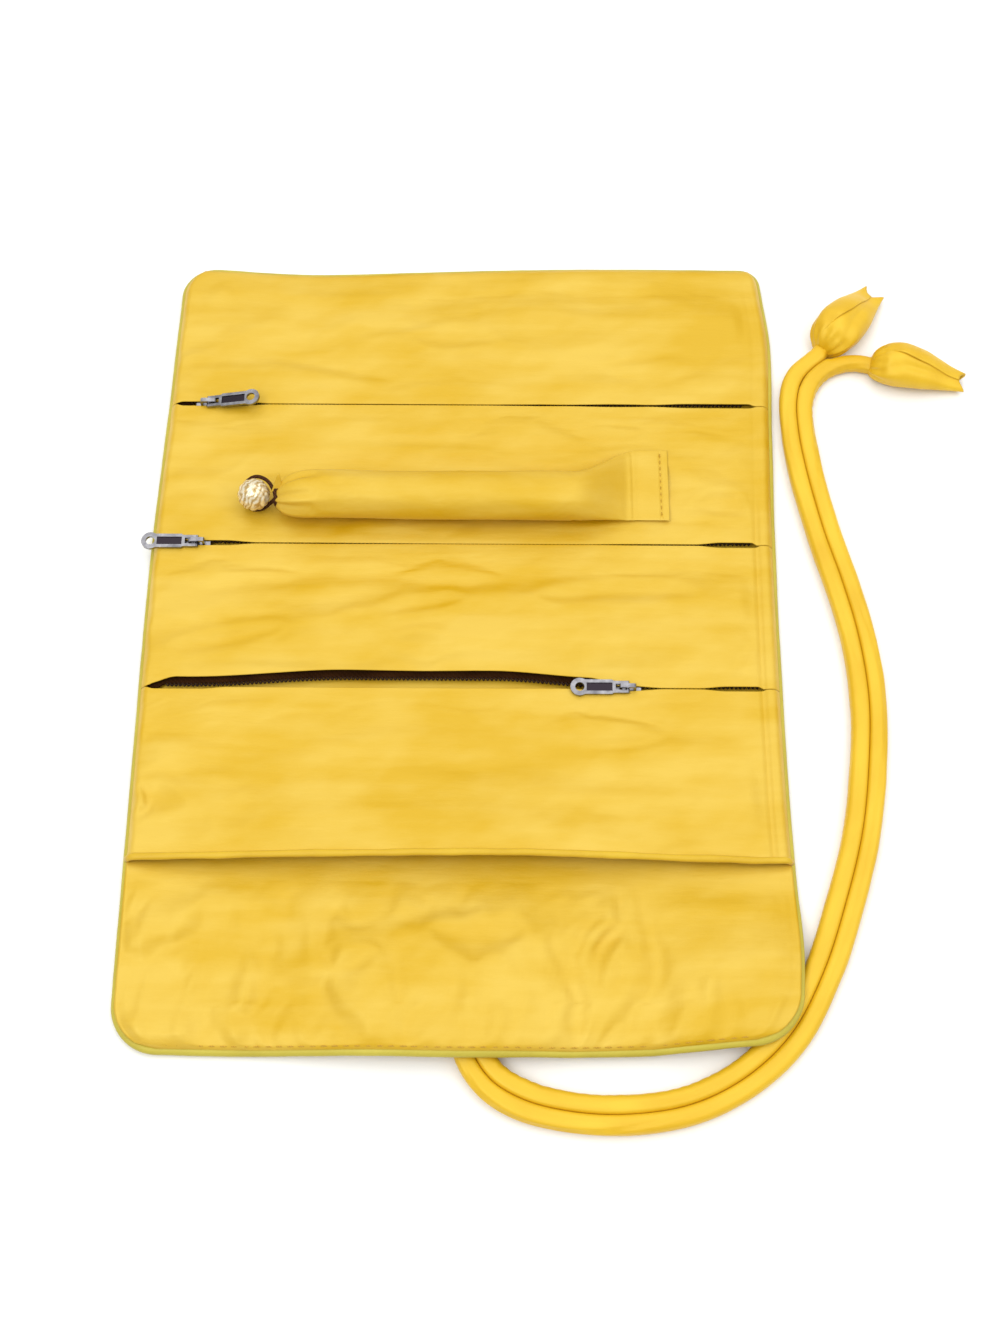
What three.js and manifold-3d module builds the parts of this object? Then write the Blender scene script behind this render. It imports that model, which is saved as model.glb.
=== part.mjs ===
// A satin jewelry roll lying open: five padded stretches joined along four fold lines, three zipped
// pockets, a slip pocket, a ring bolster and two tie cords with folded tulip ends.
// Millimetres, +X right, +Y towards the far edge, +Z up, origin under the middle of the mat.
import * as THREE from 'three';
import { mergeVertices } from 'three/addons/utils/BufferGeometryUtils.js';
import Module from 'manifold-3d';

const wasm = await Module();
wasm.setup();

// Mat
const MAT_WIDTH = 190;
const TOP_DEPTH = 55; // far edge to the top zip
const RING_DEPTH = 50; // top zip to the ring zip
const MIDDLE_DEPTH = 48; // ring zip to the middle zip
const HEM_DEPTH = 53; // middle zip to the hem of the slip pocket
const FLAP_DEPTH = 54; // hem to the near edge
const CORNER_RADIUS = 14;
const FAR_RIGHT_RADIUS = 8;
const PIPING_DIAMETER = 3.2;
const PIPING_LIFT = 0.3; // underside of the piping over the floor

// Fabric layers and the clearances between them
const COVER_THICKNESS = 0.5;
const PADDING_THICKNESS = 1.3;
const LINING_THICKNESS = 0.4;
const FRONT_THICKNESS = 0.5;
const LAYER_GAP = 0.2;
const SEAM_GAP = 0.3;
const CUT_MARGIN = 1; // how far a cutting shape runs past what it cuts
const FOLD_GAP = 0.8; // left open across each fold line

// Folds
const FOLD_BELOW_ZIP = 7.5;
const FOLD_BELOW_HEM = 2.6;
const FLAP_RISE = 5.6; // the flap lies on the tie cords
const RISE_START = 3; // from the fold line to where the flap begins to rise
const RISE_RUN = 28;
const RISE_LEFT_INSET = 15; // the left end of the flap stays on the floor
const RISE_LEFT_RUN = 60;

// Pocket fronts
const SKIRT_WIDTH = 4; // sloping edge that is sewn into the side seam
const TOP_CROWN = 0.8;
const RING_CROWN = 0.4;
const MIDDLE_CROWN = 2.6;
const HEM_CROWN = 3.2;
const HEM_ROLL_DIAMETER = 2.4;

// Zips
const LIP_GAP = 1.0; // half the slit between the fabric lips
const COIL_SLOT = 0.75; // half the channel between the two coils
const COIL_WIDTH = 1.1;
const COIL_HEIGHT = 1.0;
const TAPE_THICKNESS = 0.4;
const UPPER_TAPE_WIDTH = 7;
const LOWER_TAPE_WIDTH = 5;
const OPEN_BOW = 2.4; // how far the upper lip of the open zip is pushed back
const OPEN_TAPER = 40; // length over which that bow fades at each end
const SLIDER_LENGTH = 8;
const SLIDER_FRONT_WIDTH = 6.6;
const SLIDER_BACK_WIDTH = 5.2;
const SLIDER_CORNER = 1.2;
const SLIDER_PLATE = 0.4;
const SLIDER_POST_LENGTH = 2.4;
const RUN_CLEARANCE = 0.2; // between the slider and what it runs along
const SIDE_CLEARANCE = 0.3;
const SLIDER_END_GAP = 0.7;
const MIDDLE_SLIDER_X = 48.5;

// Bridge on the slider and the pull tab that hangs in it
const BRIDGE_LENGTH = 5;
const BRIDGE_BAR = 0.8;
const BRIDGE_WIDTH = 1.3;
const PULL_THICKNESS = 0.9;
const PULL_BAR_DIAMETER = 1;
const PULL_LENGTH = 17; // bar to tip
const PULL_WIDTH = 4.6;
const PULL_TIP_RADIUS = 2.8;
const PULL_HOLE_RADIUS = 1.4;
const PULL_ARM = 0.95;
const PULL_WINDOW_RIM = 0.6; // left between the window and the hole in the tip
const PULL_WINDOW_WIDTH = 2.6;
const PULL_WINDOW_DEPTH = 0.3; // sunk this far from each face
const TOP_PULL_TILT = 12; // degrees that the top pull stands off the fabric

// Ring bolster
const BOLSTER_WIDTH = 15.6;
const BOLSTER_HEIGHT = 13;
const BOLSTER_LEFT_INSET = 37.2; // from the side edges of the mat to the ends of the bolster
const BOLSTER_RIGHT_INSET = 41;
const BOLSTER_ABOVE_ZIP = 13;
const BOLSTER_ROUNDING = 18; // length over which the free end draws in
const BOLSTER_FLATTEN = 18; // length over which the sewn end goes flat
const BOLSTER_END_CLOSE = 0.84; // how far it draws in
const BOLSTER_WALL = 0.8;
const FLAT_WALL = 0.5;
const TAB_LENGTH = 8.2;
const TAB_WIDTH = 25;
const TAB_THICKNESS = 1.4;
const TAB_SHIFT = 7.5; // the flat end sits further up the panel than the bolster

// Bead button and its loop
const BEAD_DIAMETER = 10;
const BEAD_FROM_BOLSTER = 7.2;
const BEAD_SHANK_DIAMETER = 3.6;
const BEAD_SHANK_HEIGHT = 1.4;
const BEAD_LOBES = 11;
const BEAD_LOBE_DEPTH = 0.09; // of the radius, at the bottom of the valleys
const BEAD_TWIST = 24; // degrees that the lobes wind from the middle to the top
const LOOP_DIAMETER = 1.2;
const LOOP_CLEARANCE = 0.9;
const LOOP_HEIGHT = 1.2; // over the panel at the far side of the bead
const LOOP_SLOPE = 0.27;
const LOOP_END_ANGLE = 12; // degrees left open towards the bolster

// Tie cords
const CORD_DIAMETER = 5;
const CORD_FLOOR_GAP = 0.1;
const CORD_Z = CORD_DIAMETER / 2 + CORD_FLOOR_GAP;
const TACK_LENGTH = 10.5;
const TACK_MARGIN = 0.6;
const TACK_THIN_END = 1.2;
const TULIP_LENGTH = 30;
const TULIP_WIDTH = 16.4;
const TULIP_HEIGHT = 12;
const TULIP_NECK = 5.6;
const TULIP_TIP_WIDTH = 7.6;
const TULIP_TIP_HEIGHT = 4;
const TULIP_MOUTH_DEPTH = 9;
const TULIP_MOUTH_GAPE = 1.6;
const TULIP_LEAN = 0.66; // under 1 brings the belly towards the neck
const TULIP_TAPER = 0.95; // over 1 slims both ends

// Routes of the two cords in plan, from the tack under the flap to the tulips
const INNER_CORD = [
  [5.2, -117], [5.2, -124], [7, -130.6], [10.9, -135.8], [18, -139.9],
  [27.9, -142.7], [43.5, -143.9], [61.8, -141.3], [76.2, -134.3], [88.5, -123.1],
  [98.1, -106.9], [106.3, -85.6], [112.4, -65.1], [115.9, -43.9], [117.4, -25.1],
  [116, -5.8], [112.5, 12.4], [107.8, 31.4], [103.9, 52.9], [102.4, 67.3],
  [102.5, 78], [103.9, 85], [106.4, 89.6], [109.6, 92.7], [112.6, 95.4], [115, 98.3],
];
const OUTER_CORD = [
  [-0.1, -117], [-0.1, -124.4], [2.1, -132.6], [7.4, -139.8], [16, -145],
  [27.1, -148], [43.7, -149.2], [63.2, -146.4], [79.2, -138.8], [92.8, -126.6],
  [103, -109.2], [111.4, -87.4], [117.7, -66.3], [121.2, -44.5], [122.7, -25.1],
  [121.3, -5.2], [117.8, 13.6], [113.1, 32.6], [109.2, 53.9], [107.8, 67.4],
  [108, 77.6], [110.4, 84.9], [115, 90.2], [120.8, 92.8], [126.2, 93.2], [130.6, 92.3],
];

// Facets
const PIPING_SIDES = 8;
const CORD_SIDES = 10;
const CORD_STEPS = 44;
const CORNER_ROWS = 4;
const FRONT_COLUMNS = 10;
const FRONT_ROWS = 6;
const FLAP_COLUMNS = 12;
const FLAP_ROWS = 6;
const RING_POINTS = 16;
const LOOP_STEPS = 16;
const CORNER_STEPS = 5;
const RISE_STEPS = 8;
const HEM_STEPS = 18;
const OPEN_ZIP_STEPS = 20;
const LOBE_SEGMENTS = 4;
const TULIP_RINGS = 9;

// Lines across the mat
const HALF_WIDTH = MAT_WIDTH / 2;
const FAR_EDGE = (TOP_DEPTH + RING_DEPTH + MIDDLE_DEPTH + HEM_DEPTH + FLAP_DEPTH) / 2;
const NEAR_EDGE = -FAR_EDGE;
const TOP_ZIP = FAR_EDGE - TOP_DEPTH;
const RING_ZIP = TOP_ZIP - RING_DEPTH;
const MIDDLE_ZIP = RING_ZIP - MIDDLE_DEPTH;
const HEM = MIDDLE_ZIP - HEM_DEPTH;
const TOP_FOLD = TOP_ZIP - FOLD_BELOW_ZIP;
const RING_FOLD = RING_ZIP - FOLD_BELOW_ZIP;
const MIDDLE_FOLD = MIDDLE_ZIP - FOLD_BELOW_ZIP;
const HEM_FOLD = HEM - FOLD_BELOW_HEM;

// Fabric lies inside the piping
const FABRIC_INSET = PIPING_DIAMETER + SEAM_GAP;
const FABRIC_HALF = HALF_WIDTH - FABRIC_INSET;
const FABRIC_FAR = FAR_EDGE - FABRIC_INSET;
const FABRIC_NEAR = NEAR_EDGE + FABRIC_INSET;
const ZIP_HALF = FABRIC_HALF - SKIRT_WIDTH - SEAM_GAP;

// Levels
const PADDING_Z = COVER_THICKNESS + LAYER_GAP;
const LINING_Z = PADDING_Z + PADDING_THICKNESS + LAYER_GAP;
const LINING_TOP = LINING_Z + LINING_THICKNESS;
const LOWER_PLATE_Z = LINING_TOP + RUN_CLEARANCE;
const COIL_Z = LOWER_PLATE_Z + SLIDER_PLATE + RUN_CLEARANCE;
const UPPER_PLATE_Z = COIL_Z + COIL_HEIGHT + RUN_CLEARANCE;
const FRONT_Z = UPPER_PLATE_Z + SLIDER_PLATE + RUN_CLEARANCE;
const FRONT_TOP = FRONT_Z + FRONT_THICKNESS;
const FRONT_FOOT = LINING_TOP + LAYER_GAP;
const PULL_Z = FRONT_TOP + RUN_CLEARANCE + PULL_THICKNESS / 2;
const BOLSTER_Z = FRONT_TOP + RING_CROWN + SEAM_GAP;

const clamp01 = (t) => Math.min(1, Math.max(0, t));
const smooth = (t) => clamp01(t) ** 2 * (3 - 2 * clamp01(t));
const lerp = (a, b, t) => a + (b - a) * t;
const even = (n) => Array.from({ length: n + 1 }, (_, i) => i / n);
const radians = (degrees) => (degrees * Math.PI) / 180;
const UP = new THREE.Vector3(0, 0, 1);

// How far the flap is raised at a point
function rise(x, y) {
  const along = smooth((HEM_FOLD - RISE_START - y) / RISE_RUN);
  const across = smooth((x + HALF_WIDTH - RISE_LEFT_INSET) / RISE_LEFT_RUN);
  return FLAP_RISE * along * across;
}

// Side edges of the fabric at a row, with the rounded corners
function cornerInset(y, farRadius) {
  const near = CORNER_RADIUS - FABRIC_INSET;
  const far = farRadius - FABRIC_INSET;
  const nearDrop = near - Math.min(near, y - FABRIC_NEAR);
  const farDrop = far - Math.min(far, FABRIC_FAR - y);
  return near - Math.sqrt(near ** 2 - nearDrop ** 2) + far - Math.sqrt(far ** 2 - farDrop ** 2);
}
const leftEdge = (y) => -FABRIC_HALF + cornerInset(y, CORNER_RADIUS);
const rightEdge = (y) => FABRIC_HALF - cornerInset(y, FAR_RIGHT_RADIUS);
const fabricPlan = (u, y) => [lerp(leftEdge(y), rightEdge(y), u), y];

// Rows that follow a quarter circle into an end of the fabric
function cornerRows(end, direction) {
  const radius = CORNER_RADIUS - FABRIC_INSET;
  return even(CORNER_ROWS).map((t) => end - direction * radius * Math.cos((t * Math.PI) / 2));
}

// A closed sheet over a grid in plan, between an underside and a top
function sheet(across, along, plan, low, high) {
  const columns = across.length;
  const rows = along.length;
  const layer = columns * rows;
  const points = [];
  for (const height of [low, high]) {
    for (const v of along) {
      for (const u of across) {
        const [x, y] = plan(u, v);
        points.push(x, y, height(x, y));
      }
    }
  }
  const faces = [];
  const quad = (a, b, c, d) => faces.push(a, b, c, a, c, d);
  for (let r = 0; r + 1 < rows; r += 1) {
    for (let c = 0; c + 1 < columns; c += 1) {
      const a = r * columns + c;
      quad(a, a + columns, a + columns + 1, a + 1);
      quad(layer + a, layer + a + 1, layer + a + columns + 1, layer + a + columns);
    }
  }
  const last = layer - columns;
  for (let c = 0; c + 1 < columns; c += 1) {
    quad(c, c + 1, layer + c + 1, layer + c);
    quad(last + c + 1, last + c, layer + last + c, layer + last + c + 1);
  }
  for (let r = 0; r + 1 < rows; r += 1) {
    const a = r * columns;
    const b = a + columns - 1;
    quad(a + columns, a, layer + a, layer + a + columns);
    quad(b, b + columns, layer + b + columns, layer + b);
  }
  return closed(points, faces);
}

// A closed solid through a row of rings with the same number of points
function loft(rings) {
  const count = rings[0].length;
  const points = rings.flat().flatMap((p) => [p.x, p.y, p.z]);
  const faces = [];
  for (let r = 0; r + 1 < rings.length; r += 1) {
    for (let i = 0; i < count; i += 1) {
      const a = r * count + i;
      const b = r * count + ((i + 1) % count);
      faces.push(a, b, b + count, a, b + count, a + count);
    }
  }
  const centre = (ring) => ring.reduce((s, p) => s.add(p), new THREE.Vector3()).divideScalar(count);
  const start = rings.length * count;
  const end = start + 1;
  points.push(...centre(rings[0]).toArray(), ...centre(rings.at(-1)).toArray());
  const base = (rings.length - 1) * count;
  for (let i = 0; i < count; i += 1) {
    const j = (i + 1) % count;
    faces.push(start, j, i, end, base + i, base + j);
  }
  return closed(points, faces);
}

function closed(points, faces) {
  const geometry = new THREE.BufferGeometry();
  geometry.setAttribute('position', new THREE.Float32BufferAttribute(points, 3));
  geometry.setIndex(faces);
  geometry.computeVertexNormals();
  return geometry;
}

// An upright oval ring across X, flattened where its height is small
function ovalRing(x, y, z, halfWidth, halfHeight) {
  return even(RING_POINTS).slice(1).map((t) => {
    const angle = t * 2 * Math.PI;
    return new THREE.Vector3(x, y + halfWidth * Math.cos(angle), z + halfHeight * Math.sin(angle));
  });
}

// A round pipe through stations given as x, y, z and heading in plan
function pipe(stations, diameter) {
  const radius = diameter / 2;
  return loft(stations.map(([x, y, z, heading]) => even(PIPING_SIDES).slice(1).map((t) => {
    const angle = t * 2 * Math.PI;
    const side = radius * Math.cos(angle);
    const up = radius * Math.sin(angle);
    return new THREE.Vector3(x - side * Math.sin(heading), y + side * Math.cos(heading), z + up);
  })));
}

// A round tube along a curve
function tube(curve, diameter, sides, steps) {
  const section = new THREE.Shape();
  section.absarc(0, 0, diameter / 2, 0, 2 * Math.PI, false);
  return new THREE.ExtrudeGeometry(section, {
    steps,
    extrudePath: curve,
    curveSegments: sides / 2,
    bevelEnabled: false,
  });
}

// A flat outline given a thickness
function extrude(outline, depth, curveSegments) {
  return new THREE.ExtrudeGeometry(outline, { depth, curveSegments, bevelEnabled: false });
}

// Path given by a formula
class Route extends THREE.Curve {
  constructor(point) {
    super();
    this.point = point;
  }

  getPoint(t, target = new THREE.Vector3()) {
    return target.set(...this.point(t));
  }
}

// Booleans
function toSolid(geometry) {
  const bare = geometry.clone();
  bare.deleteAttribute('normal');
  bare.deleteAttribute('uv');
  const merged = mergeVertices(bare, 1e-4);
  return new wasm.Manifold(new wasm.Mesh({
    numProp: 3,
    vertProperties: new Float32Array(merged.attributes.position.array),
    triVerts: new Uint32Array(merged.index.array),
  }));
}

function fromSolid(solid) {
  const mesh = solid.getMesh();
  return closed(Array.from(mesh.vertProperties), Array.from(mesh.triVerts));
}

const join = (...parts) => fromSolid(parts.map(toSolid).reduce((a, b) => a.add(b)));
const cut = (base, ...tools) => fromSolid(tools.map(toSolid).reduce((a, b) => a.subtract(b), toSolid(base)));

// Materials
const finish = (color, roughness, metalness = 0) => ({ color, roughness, metalness });
const SATIN = finish(0xf5d046, 0.42);
const COVER_SATIN = finish(0xf0c83c, 0.45);
const PIPING_SATIN = finish(0xd8b52e, 0.5);
const WADDING = finish(0xf2efe6, 0.95);
const TAPE = finish(0x3a2d22, 0.85);
const COIL = finish(0x2e241c, 0.5);
const NICKEL = finish(0xc9c6c0, 0.3, 1);
const GOLD = finish(0xb9a06a, 0.35, 1);
const ELASTIC = finish(0x4a3423, 0.8);

const roll = new THREE.Group();
roll.name = 'jewelry_roll';
function add(name, geometry, look) {
  const mesh = new THREE.Mesh(geometry, new THREE.MeshStandardMaterial(look));
  mesh.name = name;
  roll.add(mesh);
  return mesh;
}

// Cover, padding and lining of one stretch between two rows
function layers(name, across, along, lift) {
  const level = (z) => (x, y) => z + lift(x, y);
  const stretch = (low, thickness) =>
    sheet(across, along, fabricPlan, level(low), level(low + thickness));
  add(`outer_cover_${name}`, stretch(0, COVER_THICKNESS), COVER_SATIN);
  add(`padding_${name}`, stretch(PADDING_Z, PADDING_THICKNESS), WADDING);
  add(`lining_${name}`, stretch(LINING_Z, LINING_THICKNESS), SATIN);
}

const flat = () => 0;
const above = (fold) => fold + FOLD_GAP / 2;
const below = (fold) => fold - FOLD_GAP / 2;
const flapRows = even(FLAP_ROWS).map((t) => lerp(below(HEM_FOLD), HEM_FOLD - RISE_START - RISE_RUN, t));
layers('top', [0, 1], [above(TOP_FOLD), ...cornerRows(FABRIC_FAR, 1)], flat);
layers('ring', [0, 1], [above(RING_FOLD), below(TOP_FOLD)], flat);
layers('middle', [0, 1], [above(MIDDLE_FOLD), below(RING_FOLD)], flat);
layers('hem', [0, 1], [above(HEM_FOLD), below(MIDDLE_FOLD)], flat);
layers('flap', even(FLAP_COLUMNS), [...cornerRows(FABRIC_NEAR, -1).reverse(), ...flapRows.reverse()], rise);

// Height of a pocket front's underside: up from the side seams, plus the crown of that pocket
const sideDistance = (x, y) => Math.min(x - leftEdge(y), rightEdge(y) - x);
const quarterWave = (t) => Math.sin((clamp01(t) * Math.PI) / 2);
const shoulder = (distance) => lerp(FRONT_FOOT, FRONT_Z, quarterWave(distance / SKIRT_WIDTH));
const bell = (x) => 1 - (x / FABRIC_HALF) ** 4;
const puff = (y, low, high) => Math.sin(clamp01((y - low) / (high - low)) * Math.PI) ** 2;
const lipLow = (x, y) => shoulder(sideDistance(x, y));
const topLow = (x, y) => shoulder(Math.min(sideDistance(x, y), FABRIC_FAR - y))
  + TOP_CROWN * bell(x) * puff(y, TOP_ZIP, FABRIC_FAR);
const ringLow = (x, y) => lipLow(x, y) + RING_CROWN * bell(x) * puff(y, RING_ZIP, TOP_FOLD);
const middleLow = (x, y) => lipLow(x, y) + MIDDLE_CROWN * bell(x) * puff(y, MIDDLE_ZIP, RING_FOLD);
const hemLow = (x, y) => lipLow(x, y)
  + HEM_CROWN * (1 - (x / FABRIC_HALF) ** 2) * quarterWave((MIDDLE_FOLD - y) / (MIDDLE_FOLD - HEM));

// How far the upper lip of the open middle zip is pushed back at x
const OPEN_END = MIDDLE_SLIDER_X - SLIDER_LENGTH / 2;
const bow = (x) => OPEN_BOW * smooth((x + ZIP_HALF) / OPEN_TAPER) * smooth((OPEN_END - x) / OPEN_TAPER);
const noBow = () => 0;

// Columns of a front: two in each skirt, evenly spread between
const SKIRT_SHARE = SKIRT_WIDTH / (2 * FABRIC_HALF);
const FRONT_ACROSS = [
  0,
  SKIRT_SHARE / 2,
  ...even(FRONT_COLUMNS).map((t) => lerp(SKIRT_SHARE, 1 - SKIRT_SHARE, t)),
  1 - SKIRT_SHARE / 2,
  1,
];
const overThickness = (low) => (x, y) => low(x, y) + FRONT_THICKNESS;

// A pocket front between two edges given as functions of x
function front(name, rows, lowEdge, highEdge, low) {
  const plan = (u, v) => {
    const guess = lerp(-FABRIC_HALF, FABRIC_HALF, u);
    const y = lerp(lowEdge(guess), highEdge(guess), v);
    return fabricPlan(u, y);
  };
  add(name, sheet(FRONT_ACROSS, rows, plan, low, overThickness(low)), SATIN);
}
const at = (y) => () => y;
const upperLip = (zip) => zip + LIP_GAP;
const lowerLip = (zip) => zip - LIP_GAP;
const topLipY = upperLip(TOP_ZIP);
const topFrontRows = [
  ...even(FRONT_ROWS - 2).map((t) => t * (FABRIC_FAR - CORNER_RADIUS - topLipY)),
  ...cornerRows(FABRIC_FAR, 1).map((y) => y - topLipY),
].map((d) => d / (FABRIC_FAR - topLipY));
front('pocket_front_top', topFrontRows, at(topLipY), at(FABRIC_FAR), topLow);
front('pocket_front_ring', even(FRONT_ROWS), at(upperLip(RING_ZIP)), at(below(TOP_FOLD)), ringLow);
const openLip = (x) => upperLip(MIDDLE_ZIP) + bow(x);
front('pocket_front_middle', even(FRONT_ROWS), openLip, at(below(RING_FOLD)), middleLow);
const hemFrontEnd = HEM + HEM_ROLL_DIAMETER / 2 + SEAM_GAP;
front('pocket_front_hem', even(FRONT_ROWS), at(hemFrontEnd), at(below(MIDDLE_FOLD)), hemLow);

// The strip of the next pocket front that forms a zip's lower lip
const lip = (name, zip, fold) => front(name, [0, 1], at(above(fold)), at(lowerLip(zip)), lipLow);
lip('pocket_lip_ring', TOP_ZIP, TOP_FOLD);
lip('pocket_lip_middle', RING_ZIP, RING_FOLD);
lip('pocket_lip_hem', MIDDLE_ZIP, MIDDLE_FOLD);

// Rolled hem along the mouth of the slip pocket
const hemRollFloor = LINING_TOP + LAYER_GAP + HEM_ROLL_DIAMETER / 2;
const hemStations = even(HEM_STEPS).map((t) => {
  const x = lerp(-FABRIC_HALF, FABRIC_HALF, t);
  return [x, HEM, Math.max(hemRollFloor, hemLow(x, HEM) + FRONT_THICKNESS / 2), 0];
});
add('hem_roll', pipe(hemStations, HEM_ROLL_DIAMETER), PIPING_SATIN);

// Piping round the edge, cut at the fold lines
const PIPING_X = HALF_WIDTH - PIPING_DIAMETER / 2;
const PIPING_Z = PIPING_DIAMETER / 2 + PIPING_LIFT;
function sidePiping(name, foldBelow, foldAbove) {
  for (const [side, x] of [['left', -PIPING_X], ['right', PIPING_X]]) {
    const stations = [above(foldBelow), below(foldAbove)].map((y) => [x, y, PIPING_Z, Math.PI / 2]);
    add(`piping_${side}_${name}`, pipe(stations, PIPING_DIAMETER), PIPING_SATIN);
  }
}
sidePiping('ring', RING_FOLD, TOP_FOLD);
sidePiping('middle', MIDDLE_FOLD, RING_FOLD);
sidePiping('hem', HEM_FOLD, MIDDLE_FOLD);

// A U of piping round one end of the mat: side, corner, edge, corner, side
function endPiping(fold, end, leftRadius, rightRadius, steps, lift) {
  const facing = Math.sign(end);
  const edge = end - facing * (PIPING_DIAMETER / 2);
  const start = fold + facing * (FOLD_GAP / 2);
  const l = leftRadius - PIPING_DIAMETER / 2;
  const r = rightRadius - PIPING_DIAMETER / 2;
  const quarter = (facing * Math.PI) / 2;
  const corner = (x, y, radius, from) => even(CORNER_STEPS).map((t) => {
    const angle = from - quarter * t;
    return [x + radius * Math.cos(angle), y + radius * Math.sin(angle), angle - quarter];
  });
  const left = corner(-PIPING_X + l, edge - facing * l, l, Math.PI);
  const right = corner(PIPING_X - r, edge - facing * r, r, quarter);
  const inside = even(steps).slice(1, -1);
  const between = (a, b) => inside.map((t) => [lerp(a[0], b[0], t), lerp(a[1], b[1], t), a[2]]);
  const first = [-PIPING_X, start, quarter];
  const last = [PIPING_X, start, -quarter];
  const plan = [
    first, ...between(first, left[0]),
    ...left, ...between(left.at(-1), right[0]),
    ...right, ...between(right.at(-1), last), last,
  ];
  return pipe(plan.map(([x, y, heading]) => [x, y, PIPING_Z + lift(x, y), heading]), PIPING_DIAMETER);
}
const farPiping = endPiping(TOP_FOLD, FAR_EDGE, CORNER_RADIUS, FAR_RIGHT_RADIUS, 1, flat);
const nearPiping = endPiping(HEM_FOLD, NEAR_EDGE, CORNER_RADIUS, CORNER_RADIUS, RISE_STEPS, rise);
add('piping_far', farPiping, PIPING_SATIN);
add('piping_near', nearPiping, PIPING_SATIN);

// One zip: two tapes, two coils, a slider and its pull tab
const TAPE_Z = COIL_Z + (COIL_HEIGHT - TAPE_THICKNESS) / 2;
const COIL_OUTER = COIL_SLOT + COIL_WIDTH;

function coil(zip, side, shift, steps) {
  const route = new Route((t) => {
    const x = lerp(-ZIP_HALF, ZIP_HALF, t);
    return [x, zip + side * (COIL_SLOT + COIL_WIDTH / 2 + shift(x)), COIL_Z + COIL_HEIGHT / 2];
  });
  const section = new THREE.Shape();
  section.absellipse(0, 0, COIL_HEIGHT / 2, COIL_WIDTH / 2, 0, 2 * Math.PI);
  return new THREE.ExtrudeGeometry(section, {
    steps,
    extrudePath: route,
    curveSegments: PIPING_SIDES / 2,
    bevelEnabled: false,
  });
}

function tape(zip, side, width, shift, columns) {
  const plan = (u, v) => {
    const x = lerp(-ZIP_HALF, ZIP_HALF, u);
    const near = COIL_OUTER + RUN_CLEARANCE + shift(x);
    return [x, zip + side * lerp(near, COIL_OUTER + width, side > 0 ? v : 1 - v)];
  };
  return sheet(even(columns), [0, 1], plan, at(TAPE_Z), at(TAPE_Z + TAPE_THICKNESS));
}

// Wide at the end where the coils part, narrow where they come out joined
function sliderPlate(z) {
  const a = SLIDER_LENGTH / 2;
  const f = SLIDER_FRONT_WIDTH / 2;
  const b = SLIDER_BACK_WIDTH / 2;
  const c = SLIDER_CORNER;
  const outline = new THREE.Shape();
  outline.moveTo(-a, c - f);
  outline.quadraticCurveTo(-a, -f, c - a, -f);
  outline.lineTo(a - c, -b);
  outline.quadraticCurveTo(a, -b, a, c - b);
  outline.lineTo(a, b - c);
  outline.quadraticCurveTo(a, b, a - c, b);
  outline.lineTo(c - a, f);
  outline.quadraticCurveTo(-a, f, -a, f - c);
  return extrude(outline, SLIDER_PLATE, 3).translate(0, 0, z);
}

const PULL_BAR_TOP = PULL_Z + PULL_BAR_DIAMETER / 2;
const BRIDGE_INNER = PULL_BAR_TOP + RUN_CLEARANCE;
const BRIDGE_TOP = BRIDGE_INNER + BRIDGE_BAR;

function slider() {
  const postHalf = COIL_SLOT - SIDE_CLEARANCE;
  const postStart = -SLIDER_LENGTH / 2 + BRIDGE_BAR / 2;
  const post = new THREE.Shape();
  post.moveTo(postStart, 0);
  post.lineTo(postStart + SLIDER_POST_LENGTH / 3, -postHalf);
  post.lineTo(postStart + SLIDER_POST_LENGTH, 0);
  post.lineTo(postStart + SLIDER_POST_LENGTH / 3, postHalf);
  const height = UPPER_PLATE_Z + SLIDER_PLATE / 2 - LOWER_PLATE_Z - SLIDER_PLATE / 2;
  const postSolid = extrude(post, height, 1);
  postSolid.translate(0, 0, LOWER_PLATE_Z + SLIDER_PLATE / 2);
  const foot = UPPER_PLATE_Z + SLIDER_PLATE / 2;
  const half = BRIDGE_LENGTH / 2;
  const arch = new THREE.Shape();
  arch.moveTo(-half, foot);
  arch.lineTo(-half + BRIDGE_BAR, foot);
  arch.lineTo(-half + BRIDGE_BAR, BRIDGE_INNER);
  arch.lineTo(half - BRIDGE_BAR, BRIDGE_INNER);
  arch.lineTo(half - BRIDGE_BAR, foot);
  arch.lineTo(half, foot);
  arch.lineTo(half, BRIDGE_TOP - BRIDGE_BAR);
  arch.quadraticCurveTo(half, BRIDGE_TOP, half - BRIDGE_BAR, BRIDGE_TOP);
  arch.lineTo(-half + BRIDGE_BAR, BRIDGE_TOP);
  arch.quadraticCurveTo(-half, BRIDGE_TOP, -half, BRIDGE_TOP - BRIDGE_BAR);
  const bridge = extrude(arch, BRIDGE_WIDTH, 3);
  bridge.rotateX(Math.PI / 2).translate(0, BRIDGE_WIDTH / 2, 0);
  return join(sliderPlate(LOWER_PLATE_Z), sliderPlate(UPPER_PLATE_Z), postSolid, bridge);
}

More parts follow.
